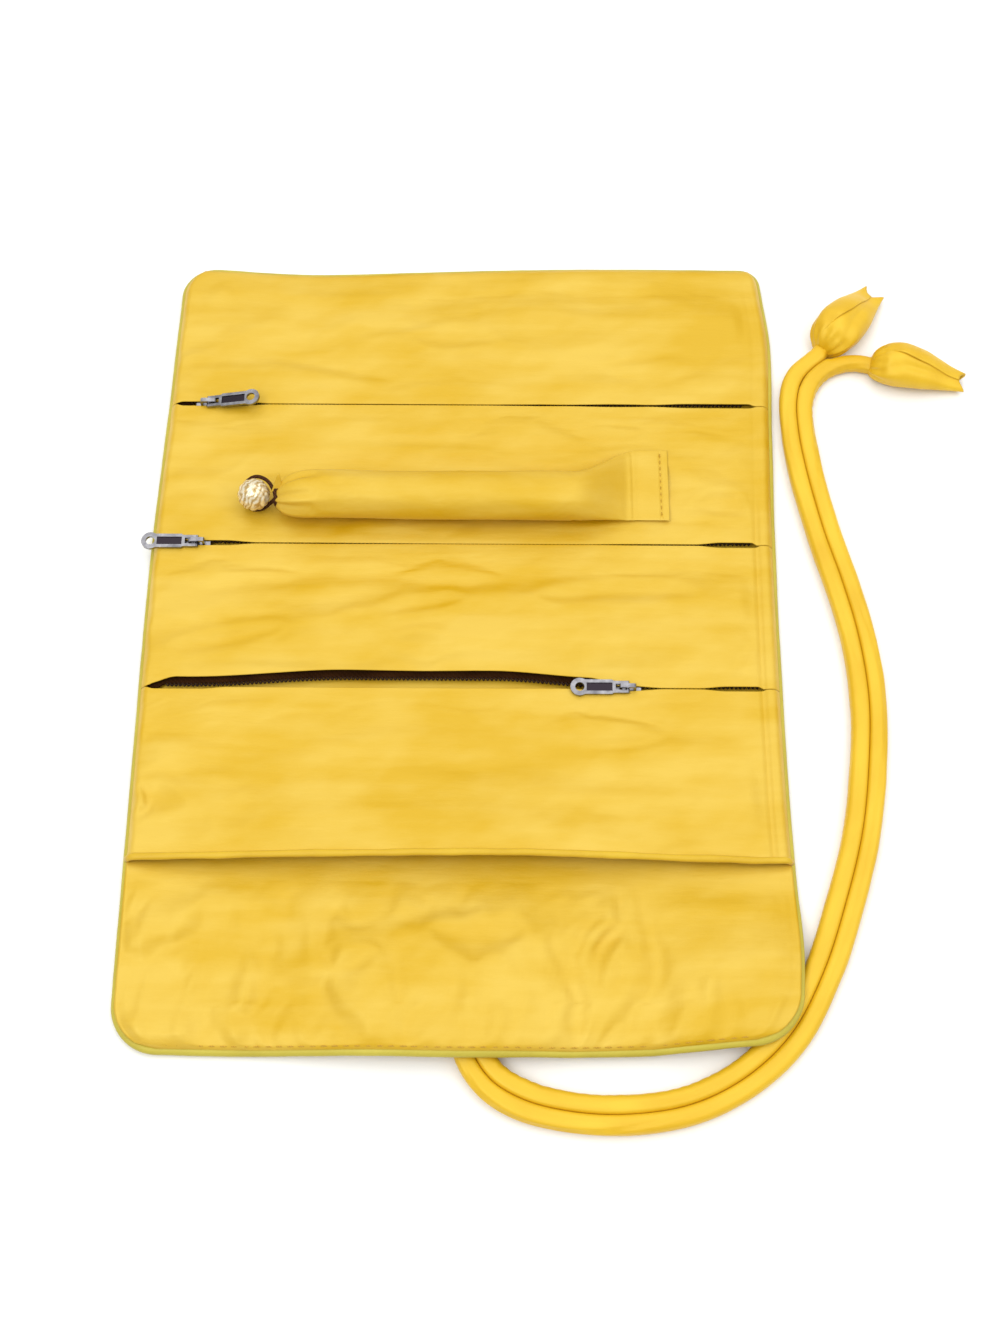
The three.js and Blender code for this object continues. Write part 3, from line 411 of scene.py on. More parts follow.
def dress(node, material):
    """Gives a kept CAD solid its finish, with its edges softened."""
    node.data.materials.clear()
    node.data.materials.append(material)
    soften = node.modifiers.new("soften", "BEVEL")
    soften.width = 0.12 * MM
    soften.segments = 2
    soften.limit_method = "ANGLE"


def thicken(piece, thickness, offset=-1.0):
    shell = piece.modifiers.new("thickness", "SOLIDIFY")
    shell.thickness = thickness * MM
    shell.offset = offset


def stand_in(piece, body, *nodes):
    """Lets a piece ride on a body in place of CAD nodes."""
    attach(piece, body)
    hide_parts(*nodes)


def bend_at(piece):
    """Bakes the piece's placement into its mesh and leaves the piece at the origin."""
    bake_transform(piece)


def grid_faces(rows, columns, wrap=False, start=0, flip=False):
    """Quads over a grid of points, closed round the columns where wrap is set."""
    faces = []
    for r in range(rows - 1):
        here = start + r * columns
        for c in range(columns if wrap else columns - 1):
            d = (c + 1) % columns
            quad = (here + c, here + d, here + columns + d, here + columns + c)
            faces.append(quad[::-1] if flip else quad)
    return faces


def tube_faces(rows, sides, start=0, caps=True):
    """Faces round a tube, and over its ends where caps is set."""
    faces = grid_faces(rows, sides, wrap=True, start=start, flip=True)
    if caps:
        last = start + (rows - 1) * sides
        faces += [tuple(range(start, start + sides)), tuple(range(last, last + sides))[::-1]]
    return faces


def sheet_piece(name, grid, cloth, material):
    rows, columns = grid.shape[:2]
    return make(name, grid, grid_faces(rows, columns), material, cloth)


def run_length(path):
    return np.concatenate([[0.0], np.cumsum(np.linalg.norm(np.diff(path, axis=0), axis=1))])


def points_at(path, run, where):
    """Points of a path at the given distances along it."""
    return np.stack([np.interp(where, run, column) for column in path.T], 1)


def carried_side(ahead):
    """A sideways direction at each point of a path that may also climb, carried along without twist."""
    side = np.cross([0.0, 0.0, 1.0] if abs(ahead[0][2]) < 0.9 else [1.0, 0.0, 0.0], ahead[0])
    out = []
    for direction in ahead:
        side = side - direction * (side @ direction)
        side = side / np.linalg.norm(side)
        out.append(side)
    return np.array(out)


def tube_piece(name, path, section, material, sides, caps=True, climbs=False):
    """A tube along a path. Section gives, for the run in mm and the angle, its reach sideways and upwards."""
    path = np.asarray(path, float)
    run = run_length(path)
    ahead = np.gradient(path, axis=0)
    ahead /= np.linalg.norm(ahead, axis=1)[:, None]
    side = carried_side(ahead) if climbs else np.cross([0.0, 0.0, 1.0], ahead)
    side /= np.linalg.norm(side, axis=1)[:, None]
    up = np.cross(ahead, side)
    angle = circle(sides)
    across, upward = section(run[:, None], angle)
    grid = path[:, None] + across[..., None] * side[:, None] + upward[..., None] * up[:, None]
    cloth = joined(run[:, None], angle * np.abs(across).max()) * MM
    return make(name, grid, tube_faces(len(path), sides, caps=caps), material, cloth)


def oval(half_width, half_height, lumps):
    """A section for a tube. Lumps gives how far its size departs from 1, for the run and the angle."""
    def section(s, angle):
        size = 1 + lumps(s, angle)
        return half_width * size * np.cos(angle), half_height * size * np.sin(angle)

    return section


def through(points, per_span):
    """A smooth line through the points, centripetal so that it neither loops nor overshoots."""
    p = np.asarray(points, float)
    p = np.vstack([2 * p[0] - p[1], p, 2 * p[-1] - p[-2]])
    out = []
    for i in range(1, len(p) - 2):
        q = p[i - 1:i + 3]
        knot = np.concatenate([[0], np.cumsum(np.linalg.norm(np.diff(q, axis=0), axis=1) ** 0.5)])
        t = np.linspace(knot[1], knot[2], per_span, endpoint=False)[:, None]

        def blended(one, two, low, high):
            return ((knot[high] - t) * one + (t - knot[low]) * two) / (knot[high] - knot[low])

        a = [blended(q[k], q[k + 1], k, k + 1) for k in range(3)]
        b = [blended(a[k], a[k + 1], k, k + 2) for k in range(2)]
        out.append(blended(b[0], b[1], 1, 2))
    return np.vstack(out + [p[-2:-1]])


def stitches(name, path, lift=0.0, length=2.1, pitch=3.1, radius=0.2):
    """Separate sewing stitches along a path, each lower and thinner at both ends."""
    rings = sides = 6
    path = np.asarray(path, float)
    run = run_length(path)
    bow = np.sin(np.linspace(0, np.pi, rings))
    points, faces = [], []
    for start in np.arange(0.5, run[-1] - length, pitch):
        line = points_at(path, run, start + np.linspace(0, length, rings))
        ahead = line[-1] - line[0]
        ahead /= np.linalg.norm(ahead)
        side = np.cross([0, 0, 1.0], ahead)
        side /= np.linalg.norm(side)
        up = np.cross(ahead, side)
        faces += tube_faces(rings, sides, start=len(points))
        for spot, high in zip(line, bow):
            centre = spot + up * (lift + 0.16 * high)
            r = radius * (0.35 + 0.65 * high)
            points += [centre + r * (math.cos(a) * side + math.sin(a) * up) for a in circle(sides)]
    return make(name, points, faces, THREAD)


# Cloth relaxing: a panel with a little more cloth than room, held at its seams

DIAGONAL_STIFFNESS, KEPT_SPEED, QUICK_SHARE = 0.35, 0.9, 6


def relax(grid, grow, held, low, high, steps, bend=0.12, wrap=False):
    """Lets a grid of cloth settle. Grow gives how much longer than drawn its threads are, along and across.
    Held points stay, and heights stay between low and high."""
    rows, columns = grid.shape[:2]
    index = np.arange(rows * columns).reshape(rows, columns)
    pos = grid.reshape(-1, 3).copy()
    before = pos.copy()
    free = 1.0 - np.asarray(held, float).reshape(-1)
    low, high = np.asarray(low, float).reshape(-1), np.asarray(high, float).reshape(-1)
    long_x, long_y = 1 + grow[0], 1 + grow[1]
    long_both = 1 + (grow[0] + grow[1]) / 2
    families = []

    def family(a, b, factor, stiffness):
        """Adds threads between points a and points b, no two of which share a point."""
        a, b = a.ravel(), b.ravel()
        keep = free[a] + free[b] > 0
        a, b = a[keep], b[keep]
        if len(a):
            rest = np.linalg.norm(pos[b] - pos[a], axis=1) * factor
            both = free[a] + free[b]
            families.append((a, b, rest, free[a] / both, free[b] / both, stiffness))

    def apart(lines, first, skip, step):
        return lines[first:-skip:step], lines[first + skip::step]

    ring = np.hstack([index, index[:, :1]]) if wrap else index
    for odd in (0, 1):
        one, two = apart(ring, odd, 1, 2)
        family(*apart(ring.T, odd, 1, 2), long_x, 1.0)
        family(*apart(index, odd, 1, 2), long_y, 1.0)
        family(one[:, :-1], two[:, 1:], long_both, DIAGONAL_STIFFNESS)
        family(one[:, 1:], two[:, :-1], long_both, DIAGONAL_STIFFNESS)
    for k in range(4):
        family(*apart(ring.T, k, 2, 4), long_x, bend)
        family(*apart(index, k, 2, 4), long_y, bend)
    for _ in range(steps):
        speed = KEPT_SPEED * (pos - before)
        before = pos.copy()
        pos = pos + speed * free[:, None]
        for a, b, rest, share_a, share_b, stiffness in families:
            gap = pos[b] - pos[a]
            length = np.sqrt((gap * gap).sum(1)) + 1e-9
            move = gap * (stiffness * (length - rest) / length)[:, None]
            pos[a] += move * share_a[:, None]
            pos[b] -= move * share_b[:, None]
        pos[:, 2] = np.clip(pos[:, 2], low, high)
    return pos.reshape(grid.shape)


# Outline of the mat: sides and ends that were sewn with a slight bow

def through_values(places, values):
    line = through(joined(places, values), 12)
    return lambda y: np.interp(y, line[:, 0], line[:, 1])


LEFT_BOW = through_values([-140.0, -116.0, -58.0, 21.0, 80.0, 116.0, 140.0],
                          [-1.1, -1.4, -1.9, -2.4, -0.9, -0.2, 0.3])
RIGHT_BOW = through_values([-140.0, -120.0, -97.0, -57.0, 22.0, 70.0, 100.0, 118.0, 140.0],
                           [-0.6, -0.4, 0.8, 0.1, 0.8, 2.3, 3.5, 1.9, -0.2])
FAR_BOW = through_values([-100.0, -83.0, -63.0, -48.0, -23.0, 7.0, 37.0, 77.0, 100.0],
                         [0.2, -0.5, -1.9, -2.3, -1.4, -0.3, 0.4, 0.4, 0.2])
NEAR_BOW = through_values([-100.0, -70.0, -30.0, 0.0, 30.0, 60.0, 80.0, 100.0],
                          [0.9, 1.4, 1.9, 2.4, 2.0, 0.9, -0.9, -2.6])


def bowed(x, y):
    """Moves x of a point on the straight mat to where it lies between the bowed sides."""
    return x + lerp(LEFT_BOW(y), RIGHT_BOW(y), clamp01((x + 95.0) / 190.0))


def lay(points):
    """Moves points of the straight mat to where they lie: neither its sides nor its ends are straight."""
    x, y = points[..., 0].copy(), points[..., 1].copy()
    points[..., 0] = bowed(x, y)
    points[..., 1] = (
        y + FAR_BOW(x) * smooth((y - 84.0) / 42.0) - NEAR_BOW(x) * smooth((HEM_FOLD - 22.0 - y) / 24.0)
    )
    return points


def corner_inset(y, far_radius):
    near = ROUND - np.minimum(ROUND, y - NEAR)
    far = far_radius - np.minimum(far_radius, FAR - y)
    return (ROUND - np.sqrt(np.maximum(ROUND**2 - near**2, 0))
            + far_radius - np.sqrt(np.maximum(far_radius**2 - far**2, 0)))


def left_edge(y):
    return -HALF + corner_inset(y, FAR_LEFT)


def right_edge(y):
    return HALF - corner_inset(y, SHARP)


def side_gap(x, y):
    """Distance from the nearer side."""
    return np.minimum(x - left_edge(y), right_edge(y) - x)


def seam_gap(x, y):
    """Distance from the nearest of both sides and the far end."""
    return np.minimum(side_gap(x, y), FAR - y)


CORD_LIFT, CORD_PITCH = 5.3, 5.3


def rise(x, y):
    """How far the flap is lifted by the tie cords under it."""
    across = np.maximum(smooth((x + 62) / 50) * (1 - 0.55 * smooth((x - 12) / 24)), smooth((x - 40) / 30))
    return CORD_LIFT * smooth((HEM_FOLD - 3 - y) / 28) * across


def spread(stops):
    """Rows from (end, spacing) stops, starting at the first stop's end."""
    rows = [stops[0][0]]
    for end, spacing in stops[1:]:
        count = max(1, int(round(abs(end - rows[-1]) / spacing)))
        rows += list(np.linspace(rows[-1], end, count + 1)[1:])
    return np.array(rows)


COLUMNS = spread([(-HALF, 0), (-86.0, 0.7), (-70.0, 1.0), (70.0, 1.25), (86.0, 1.0), (HALF, 0.7)])
ACROSS = (COLUMNS + HALF) / (2 * HALF)


def plan(y):
    """Places from side to side on rows of the mat, before it is bowed."""
    return lerp(left_edge(y), right_edge(y), ACROSS)


def creased(x, y, folds):
    """Height of creases and ridges. Each runs from x0, y0 to x1, y1 and fades at both ends."""
    total = np.zeros(np.broadcast(x, y).shape)
    for x0, y0, x1, y1, height, width in folds:
        dx, dy = x1 - x0, y1 - y0
        length = math.hypot(dx, dy)
        along = ((x - x0) * dx + (y - y0) * dy) / length
        off = ((x - x0) * dy - (y - y0) * dx) / length
        ends = smooth(along / (0.25 * length) + 0.5) * smooth((length - along) / (0.25 * length) + 0.5)
        total = total + height * ends * hump(off, width)
    return total


# Cords first: routes from the tack under the flap to the tulips

INNER_CORD = [
    (5.2, -117), (5.2, -124), (7, -130.6), (10.9, -135.8), (18, -139.9),
    (27.9, -142.7), (43.5, -143.9), (61.8, -141.3), (76.2, -134.3), (88.5, -123.1),
    (98.1, -106.9), (106.3, -85.6), (112.4, -65.1), (115.9, -43.9), (117.4, -25.1),
    (116, -5.8), (112.5, 12.4), (107.8, 31.4), (103.9, 52.9), (102.4, 67.3),
    (102.5, 78), (103.9, 85), (106.4, 89.6), (109.6, 92.7), (112.6, 95.4), (115, 98.3),
]
OUTER_CORD = [
    (-0.1, -117), (-0.1, -124.4), (2.1, -132.6), (7.4, -139.8), (16, -145),
    (27.1, -148), (43.7, -149.2), (63.2, -146.4), (79.2, -138.8), (92.8, -126.6),
    (103, -109.2), (111.4, -87.4), (117.7, -66.3), (121.2, -44.5), (122.7, -25.1),
    (121.3, -5.2), (117.8, 13.6), (113.1, 32.6), (109.2, 53.9), (107.8, 67.4),
    (108, 77.6), (110.4, 84.9), (115, 90.2), (120.8, 92.8), (126.2, 93.2), (130.6, 92.3),
]
CORD_Z, CORD_DIAMETER, CORD_STEP, CORD_SPAN_POINTS = 2.6, 5.0, 0.6, 14
CORD_HALF_WIDTH, CORD_HALF_HEIGHT, CORD_PRESSED_WIDTH = 2.66, 2.42, 3.0


def tie_cord(name, route, other_route, facing, seed):
    """A turned fabric tube: a lengthwise seam that wanders, and gathers on the inside of each bend. The side
    where the other cord lies, left for facing 1 and right for -1, is pressed flat."""
    line = through(route, CORD_SPAN_POINTS)
    run = run_length(line)
    line = points_at(line, run, np.linspace(0, run[-1], int(run[-1] / CORD_STEP)))
    path = joined(*line.T, CORD_Z)
    heading = np.unwrap(np.arctan2(*np.gradient(line, axis=0).T[::-1]))
    run = run_length(path)
    turn = np.gradient(heading, run)
    apart = np.linalg.norm(line[:, None] - through(other_route, CORD_SPAN_POINTS)[None], axis=2).min(1)
    uneven = waves(seed, 14, 6, 40)
    wander = waves(seed + 1, 6, 50, 160)

    def section(s, angle):
        across, up = np.cos(angle), np.sin(angle)
        off = wrapped(angle - (1.9 + 0.5 * wander(s, 0 * s)))
        bend = np.interp(s, run, turn)
        inside = clamp01(across * np.sign(bend)) * clamp01(np.abs(bend) * 35)
        reach = 1 + 0.025 * uneven(s, 9 * across + 3 * up)
        reach = reach - 0.13 * hump(off, 0.16) + 0.03 * hump(np.abs(off) - 0.4, 0.2)
        reach = reach + 0.03 * inside * np.sin(2 * np.pi * s / 3.4 + 0.8 * uneven(s, 5.0))
        gap = np.interp(s, run, apart)
        pressed = smooth(facing * across / 0.35) * smooth((6.6 - gap) / 0.9)
        power = lerp(2.6, 5.0, pressed)
        plump = (np.abs(across) ** power + np.abs(up) ** power) ** (-1 / power)
        reach = lerp(reach, 1.0, pressed)
        half_width = lerp(CORD_HALF_WIDTH, np.minimum(CORD_PRESSED_WIDTH, gap / 2 - 0.02), pressed)
        return half_width * reach * plump * across, CORD_HALF_HEIGHT * np.minimum(reach, 1.03) * plump * up

    return tube_piece(name, path, section, CORD, sides=26), path


BUD_LENGTH, BUD_OVERLAP, BUD_FLOOR, BUD_CLOTH = 31.0, 0.7, 0.12, 0.35
BUD_AT = [0.0, 0.03, 0.1, 0.2, 0.32, 0.5, 0.7, 0.85, 1.0]
BUD_WIDTH = through_values(BUD_AT, [5.5, 9.2, 12.8, 15.4, 16.4, 15.2, 12.0, 9.4, 7.4])
BUD_HEIGHT = through_values(BUD_AT, [5.0, 7.4, 9.6, 11.4, 12.0, 10.8, 8.0, 5.8, 4.2])


def bud(name, route, wide, mouth):
    """A folded fabric bud: blunt gathered base, full belly, one petal lapped over the other along the top,
    and an open tip that is cut back by mouth."""
    end, before = np.array(route[-1], float), np.array(route[-2], float)
    heading = (end - before) / np.linalg.norm(end - before)
    start = end - BUD_OVERLAP * heading
    t = (np.linspace(0, 1, 84) ** 1.5)[:, None]
    v = np.linspace(0, 1, 110)[None, :]
    opening = smooth((t - 0.12) / 0.3)
    tip = smooth((t - 0.6) / 0.4)
    lap = 0.2 + 1.1 * opening
    edge = lerp(1.15, 1.7, smooth(t / 0.55)) + 0.05 * np.sin(9 * t)
    angle = edge - (2 * np.pi + lap) * (1 - v)
    half_width, half_height = wide * BUD_WIDTH(t) / 2, BUD_HEIGHT(t) / 2
    under = 0.10 * (1 - smooth(v * 1.2)) * opening
    turned = 0.035 * smooth((v - 0.9) / 0.1) * opening + 0.06 * smooth((v - 0.86) / 0.14) * tip
    gather = 1 + 0.07 * np.cos(11 * angle + 5 * t) * hump(t - 0.05, 0.09)
    gather = gather + 0.04 * np.cos(6 * angle + 5 * t + 1) * hump(t - 0.2, 0.16)
    crease = 1 - 0.11 * hump(wrapped(angle - edge - 0.4), 0.3) * opening
    fold = 1 - 0.06 * hump(wrapped(angle - 2.3 + 0.5 * t), 0.2) * smooth(t * 2.5)
    facet = 1 + 0.03 * np.cos(3 * angle + 2.0 + 2 * t) * smooth((t - 0.15) / 0.2)
    reach = (1 - under + turned) * gather * crease * fold * facet
    x = BUD_LENGTH * t * (1 - mouth * np.sin(angle) ** 2 * tip)
    side = half_width * reach * np.cos(angle)
    z = half_height * (1 + reach * np.sin(angle)) + BUD_FLOOR
    place = joined(start[0] + heading[0] * x - heading[1] * side,
                   start[1] + heading[1] * x + heading[0] * side, np.maximum(z, BUD_FLOOR))
    piece = sheet_piece(name, place, joined(angle * 6.0, x) * MM, CORD)
    thicken(piece, BUD_CLOTH)
    return piece


for side_name, route, other_route, facing, seed, wide, mouth in (
    ("inner", INNER_CORD, OUTER_CORD, -1, 31, 1.0, 0.12),
    ("outer", OUTER_CORD, INNER_CORD, 1, 47, 0.92, 0.07),
):
    cord, path = tie_cord(f"tie_cord_{side_name}_fabric", route, other_route, facing, seed)
    tulip = bud(f"tulip_{side_name}_fabric", route, wide, mouth)
    stand_in(cord, "flap", f"tie_cord_{side_name}")
    stand_in(tulip, "flap", f"tulip_{side_name}")


# Mat: cover and lining round the wadding, in four pieces that each span one fold

MAT_FILL, FLAP_Z, FLAP_STEPS = 0.35, 3.55, 260
PLEAT_FOOT, PLEATS_LEFT, PLEATS_RIGHT = -127.5, -86.0, 88.0
MAT_LAYERS = ("outer_cover", "padding", "lining")


def bell(x):
    return 1 - np.minimum(np.abs(x) / HALF, 1.0) ** 4


def mat_top(x, y):
    """Upper face of the mat. The flap covers the piping at its sides and dips into the seam at its end."""
    hidden = LINING_Z - 0.9 * (1 - quarter(seam_gap(x, y) / 3.0))
    shown = FLAP_Z - 0.55 * (1 - quarter((y - NEAR) / 2.4))
    fall = 7.0 + 5.0 * bell(x)
    return lerp(hidden - 0.3, shown + 0.35, smooth((HEM_FOLD + 6.5 - 4.0 * bell(x) - y) / fall)) + rise(x, y)


def near_pleats():
    """Short pleats that run up the flap from its near seam."""
    rng = np.random.default_rng(211)
    x, out = PLEATS_LEFT, []
    while x < PLEATS_RIGHT:
        end = x + rng.uniform(-5, 5), PLEAT_FOOT + rng.uniform(9, 20)
        out.append((x, PLEAT_FOOT, *end, rng.uniform(0.28, 0.55), rng.uniform(1.2, 2.2)))
        x += rng.uniform(6, 15)
    return out


FLAP_FOLDS = [
    (-60, -120, -55, -104, 0.55, 3.2), (-36, -105, -21, -126, 0.6, 3.0), (-8, -127, -11, -115, 0.7, 2.6),
    (41, -126, 50, -115, 0.6, 2.8), (-83, -105, -69, -112, 0.5, 3.4), (66, -112, 88, -102, 0.4, 6.0),
    (28, -104, 32, -127, 0.6, 3.0), (-75, -126, -70, -116, 0.6, 2.2), (-48, -126, -46, -117, 0.6, 2.4),
    (10, -127, 12, -117, 0.6, 2.4), (66, -127, 63, -117, 0.5, 2.4), (-30, -96, 30, -101, 0.3, 7.0),
    (-86, -93, -52, -89, 0.45, 3.6), (40, -92, 84, -89, 0.4, 3.2),
]


def flap_face(x, y):
    """Upper face with the flap creased and then relaxed between its seams. It is calmer towards the right."""
    base = mat_top(x, y)
    inner = np.minimum(side_gap(x, y), y - NEAR)
    open_part = smooth((HEM_FOLD - 3.0 - y) / 8.0) * smooth(inner / 3.5)
    soft = 0.05 * waves(83, 40, 7, 30)(x, y)
    soft = soft + facets(84, 19, 24, 0.066, 8.0)(x, y) + facets(85, 8, 12, 0.034, 8.0)(x, y)
    soft = soft * (1 - 0.75 * smooth((x - 42.0) / 16.0))
    swell = 0.45 * smooth(inner / 9.0)
    top = base + open_part * (swell + creased(x, y, FLAP_FOLDS + near_pleats()) + soft)
    held = (open_part < 0.02) | (inner < 0.9)
    low, high = base - 0.25 * open_part, base + 2.0 * open_part + 0.02
    return relax(joined(x, y, top), (0.002, 0.0014), held, low, high, FLAP_STEPS)


def mat_piece(name, rows, fold, panels):
    """Upper face and underside of a stretch of the mat, joined along its sides and at an end of the mat."""
    y = rows[:, None]
    x = plan(y)
    cloth = joined(x, y) * MM
    top = flap_face(x, y) if fold == HEM_FOLD else joined(x, y, mat_top(x, y))
    quiet = smooth((np.abs(y - rows[0]) - 2) / 6) * smooth((np.abs(y - rows[-1]) - 2) / 6)
    edge = side_gap(x, y)
    pucker = 0.16 * waves(61, 30, 5, 26, 1.6)(x, y) * quiet * smooth(edge / 2.0)
    tuck = 0.8 * (1 - quarter(edge / 3.0))
    under = joined(x, y, 0.22 + np.maximum(pucker, -0.2) + tuck + rise(x, y))
    count, columns = x.shape
    layer = count * columns
    order = rows[-1] > rows[0]
    faces = grid_faces(count, columns, flip=not order) + grid_faces(count, columns, start=layer, flip=order)
    walls = [(range(0, layer, columns), order), (range(columns - 1, layer, columns), not order)]
    if rows[-1] in (NEAR, FAR):
        walls.append((range(layer - columns, layer), order))
    for line, forward in walls:
        for a, b in zip(line[:-1], line[1:]):
            quad = (a, b, layer + b, layer + a)
            faces.append(quad if forward else quad[::-1])
    material = SATIN if fold == HEM_FOLD else COVER
    piece = make(name, np.stack([lay(top), lay(under)]), faces, material, np.stack([cloth, cloth]))
    bend_at(piece)
    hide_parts(*[f"{layer_name}_{panel}" for panel in panels for layer_name in MAT_LAYERS])
    return piece


def corner_rows(end):
    """Rows round a corner, closer together towards the end of the mat."""
    return end - math.copysign(1, end) * ROUND * np.cos(np.linspace(0, 1, 14) * np.pi / 2)


def fold_rows(start, fold, end, spacing=1.6):
    """Rows from start to end, closer together where the cloth bends."""
    way = math.copysign(1, end - start)
    return spread([(start, 0), (fold - way * BEND, spacing), (fold + way * BEND, 0.5), (end, spacing)])


FINE_ROWS = 1.15
far_rows = np.concatenate([fold_rows(RING_MID, TOP_FOLD, FAR - ROUND)[:-1], corner_rows(FAR)])
near_rows = np.concatenate([fold_rows(HEM_MID, HEM_FOLD, NEAR + ROUND, FINE_ROWS)[:-1], corner_rows(NEAR)])
MAT = [
    mat_piece("mat_far", far_rows, TOP_FOLD, ("top", "ring")),
    mat_piece("mat_ring", fold_rows(MIDDLE_MID, RING_FOLD, RING_MID), RING_FOLD, ("middle",)),
    mat_piece("mat_middle", fold_rows(HEM_MID, MIDDLE_FOLD, MIDDLE_MID), MIDDLE_FOLD, ("hem",)),
    mat_piece("mat_near", near_rows, HEM_FOLD, ("flap",)),
]


# Pocket fronts: sheets with turned-under lips, relaxed between their seams

# Half the gap left at the ends of a zip, and the section of a lip that is turned under, as out and up
LIP_SEAM = 0.05
LIP_ROLL = [
    (0.16, -0.03), (0.30, -0.11), (0.36, -0.24), (0.30, -0.37), (0.14, -0.46), (-0.6, -0.50), (-2.4, -0.50),
]
LIP_REACH = max(out for out, drop in LIP_ROLL)
LIP_RUN = run_length(np.array([(0.0, 0.0), *LIP_ROLL]))[1:]
FRONT_STEPS = 240


def open_bow(x):
    """How far the upper side of the middle zip is drawn away from its line, left of the slider."""
    return 2.3 * between(x, -80.0, 45.0, 44.5, 36.0)


def lip_shift(zip_name, x):
    """How far the upper and the lower lip of a zip lie from its line at x."""
    ends = between(x, -92.6, 3.0, 89.6, 2.6)
    stops = np.maximum(smooth((-62 - x) / 10), smooth((x - 70) / 8))
    if zip_name == "top":
        wavy = 0.14 * np.sin(x / 6.1) * between(x, 6, 12, 60, 20)
        stops = np.maximum(stops, smooth((x - 54) / 14))
        gap = 0.13 + 0.62 * stops + 0.24 * between(x, 14, 10, 64, 14) + wavy
        upper, lower = gap, -gap
    elif zip_name == "ring":
        gap = 0.05 + 0.67 * stops + 0.1 * smooth((-5 - x) / 40) + 0.14 * smooth((x - 36) / 18)
        upper, lower = gap, -gap
    else:
        gap = 0.12 + 0.6 * np.maximum(stops, smooth((60 - x) / 10))
        upper = gap + 2.4 * between(x, -92.0, 9.0, 47.0, 9.0) + open_bow(x)
        lower = -gap + 0.6 * between(x, -76.0, 8.0, 40.0, 8.0)
    return LIP_SEAM + (upper - LIP_SEAM) * ends, -LIP_SEAM + (lower + LIP_SEAM) * ends


def edge_at(zip_name, upper):
    """Row of the flat part of a lip, just short of its rolled edge."""
    def place(x):
        up, down = lip_shift(zip_name, x)
        return ZIPS[zip_name] + up + LIP_REACH if upper else ZIPS[zip_name] + down - LIP_REACH

    return place


def rolled(grid, cloth, at_start):
    """Turns the cloth under along its near edge, the first row, or along its far edge, the last row."""
    row, way = (0, -1) if at_start else (-1, 1)
    turned = [grid[row] + (0, way * out, drop) for out, drop in LIP_ROLL]
    places = [cloth[row] + (0, way * run * MM) for run in LIP_RUN]
    if at_start:
        return np.concatenate([turned[::-1], grid]), np.concatenate([places[::-1], cloth])
    return np.concatenate([grid, turned]), np.concatenate([cloth, places])


def front_grid(low_edge, high_edge, rows):
    """Plan of a front whose rows are spread between two edges that may vary with x."""
    x = lerp(-HALF, HALF, ACROSS)
    share = (rows - rows[0]) / (rows[-1] - rows[0])
    y = lerp(low_edge(x), high_edge(x), share[:, None])
    return plan(y), y


def pocket_front(x, y, crown, folds, seed, zips, grow, amount, ceiling=None):
    """Puffs and wrinkles a front between its seams, and gives its points and their places on the cloth."""
    edge = seam_gap(x, y)
    base = lerp(FOOT_Z, FRONT_Z, quarter(edge / 2.2))
    away = np.min([np.abs(y - line) for line in zips], 0)
    room = smooth((away - 3.2) / 4.5) * smooth(edge / 3.0) * smooth((87.4 - x) / 5.0)
    soft = 0.06 * waves(seed, 46, 6, 34, 2.6)(x, y) + facets(seed + 5, 46, 12, 0.074)(x, y)
    soft = soft + facets(seed + 9, 18, 6, 0.03)(x, y)
    grid = joined(x, y, base + room * (crown + creased(x, y, folds) + soft))
    held = (edge < 0.5) | (away < 2.2)
    low = base - 0.45 * room - 0.01
    high = base + crown * room + 0.05 + amount * room
    if ceiling is not None:
        high = np.minimum(high, np.maximum(ceiling, base))
    return relax(grid, grow, held, low, high, FRONT_STEPS), joined(x, y) * MM


def finish_front(panel, grid, cloth):
    """Makes a front, with a ditch along the seam near its right side."""
    grid = grid.copy()
    x, y = grid[..., 0], grid[..., 1]
    ditch = (0.25 + 0.5 * smooth((46.0 - y) / 16.0)) * hump(x - 88.6, 0.8)
    grid[..., 2] -= ditch * between(y, -77, 3, FAR - 6, 12)
    piece = sheet_piece(f"pocket_front_{panel}_fabric", lay(grid), cloth, SATIN)
    return piece


def pillow(height, low, high):
    """A crown: full in the middle of a front, nothing at its edges."""
    return lambda x, y: height * bell(x) * np.sin(clamp01((y - low) / (high - low)) * np.pi) ** 2


TOP_FOLDS = [
    (-89, 91, -60, 109, 0.6, 3.6), (-50, 100, -36, 107, 0.5, 3.0), (-16, 97, 30, 115, 0.5, 6.0),
    (36, 89.5, 90, 90, -0.6, 4.0), (56, 115, 88, 104, 0.55, 5.0), (-70, 84, 20, 86, -0.35, 3.5),
    (-86, 112, -80, 120, 0.4, 3.0), (10, 120, 60, 121, 0.3, 3.0), (-20, 108, -2, 121, -0.35, 5.0),
]
TOP_RUN = 39.5
top_rows = spread([(0, 0), (3, 0.6), (TOP_RUN, FINE_ROWS)])[:-1] * ((FAR - ROUND - TOP_ZIP) / TOP_RUN)
x, y = front_grid(edge_at("top", True), lambda x: FAR, np.concatenate([TOP_ZIP + top_rows, corner_rows(FAR)]))
crown = pillow(0.9, TOP_ZIP, FAR)(x, y)
grid, cloth = pocket_front(x, y, crown, TOP_FOLDS, 11, [TOP_ZIP], (0.0015, 0.0025), 1.0)
stand_in(finish_front("top", *rolled(grid, cloth, True)), "top_panel", "pocket_front_top")


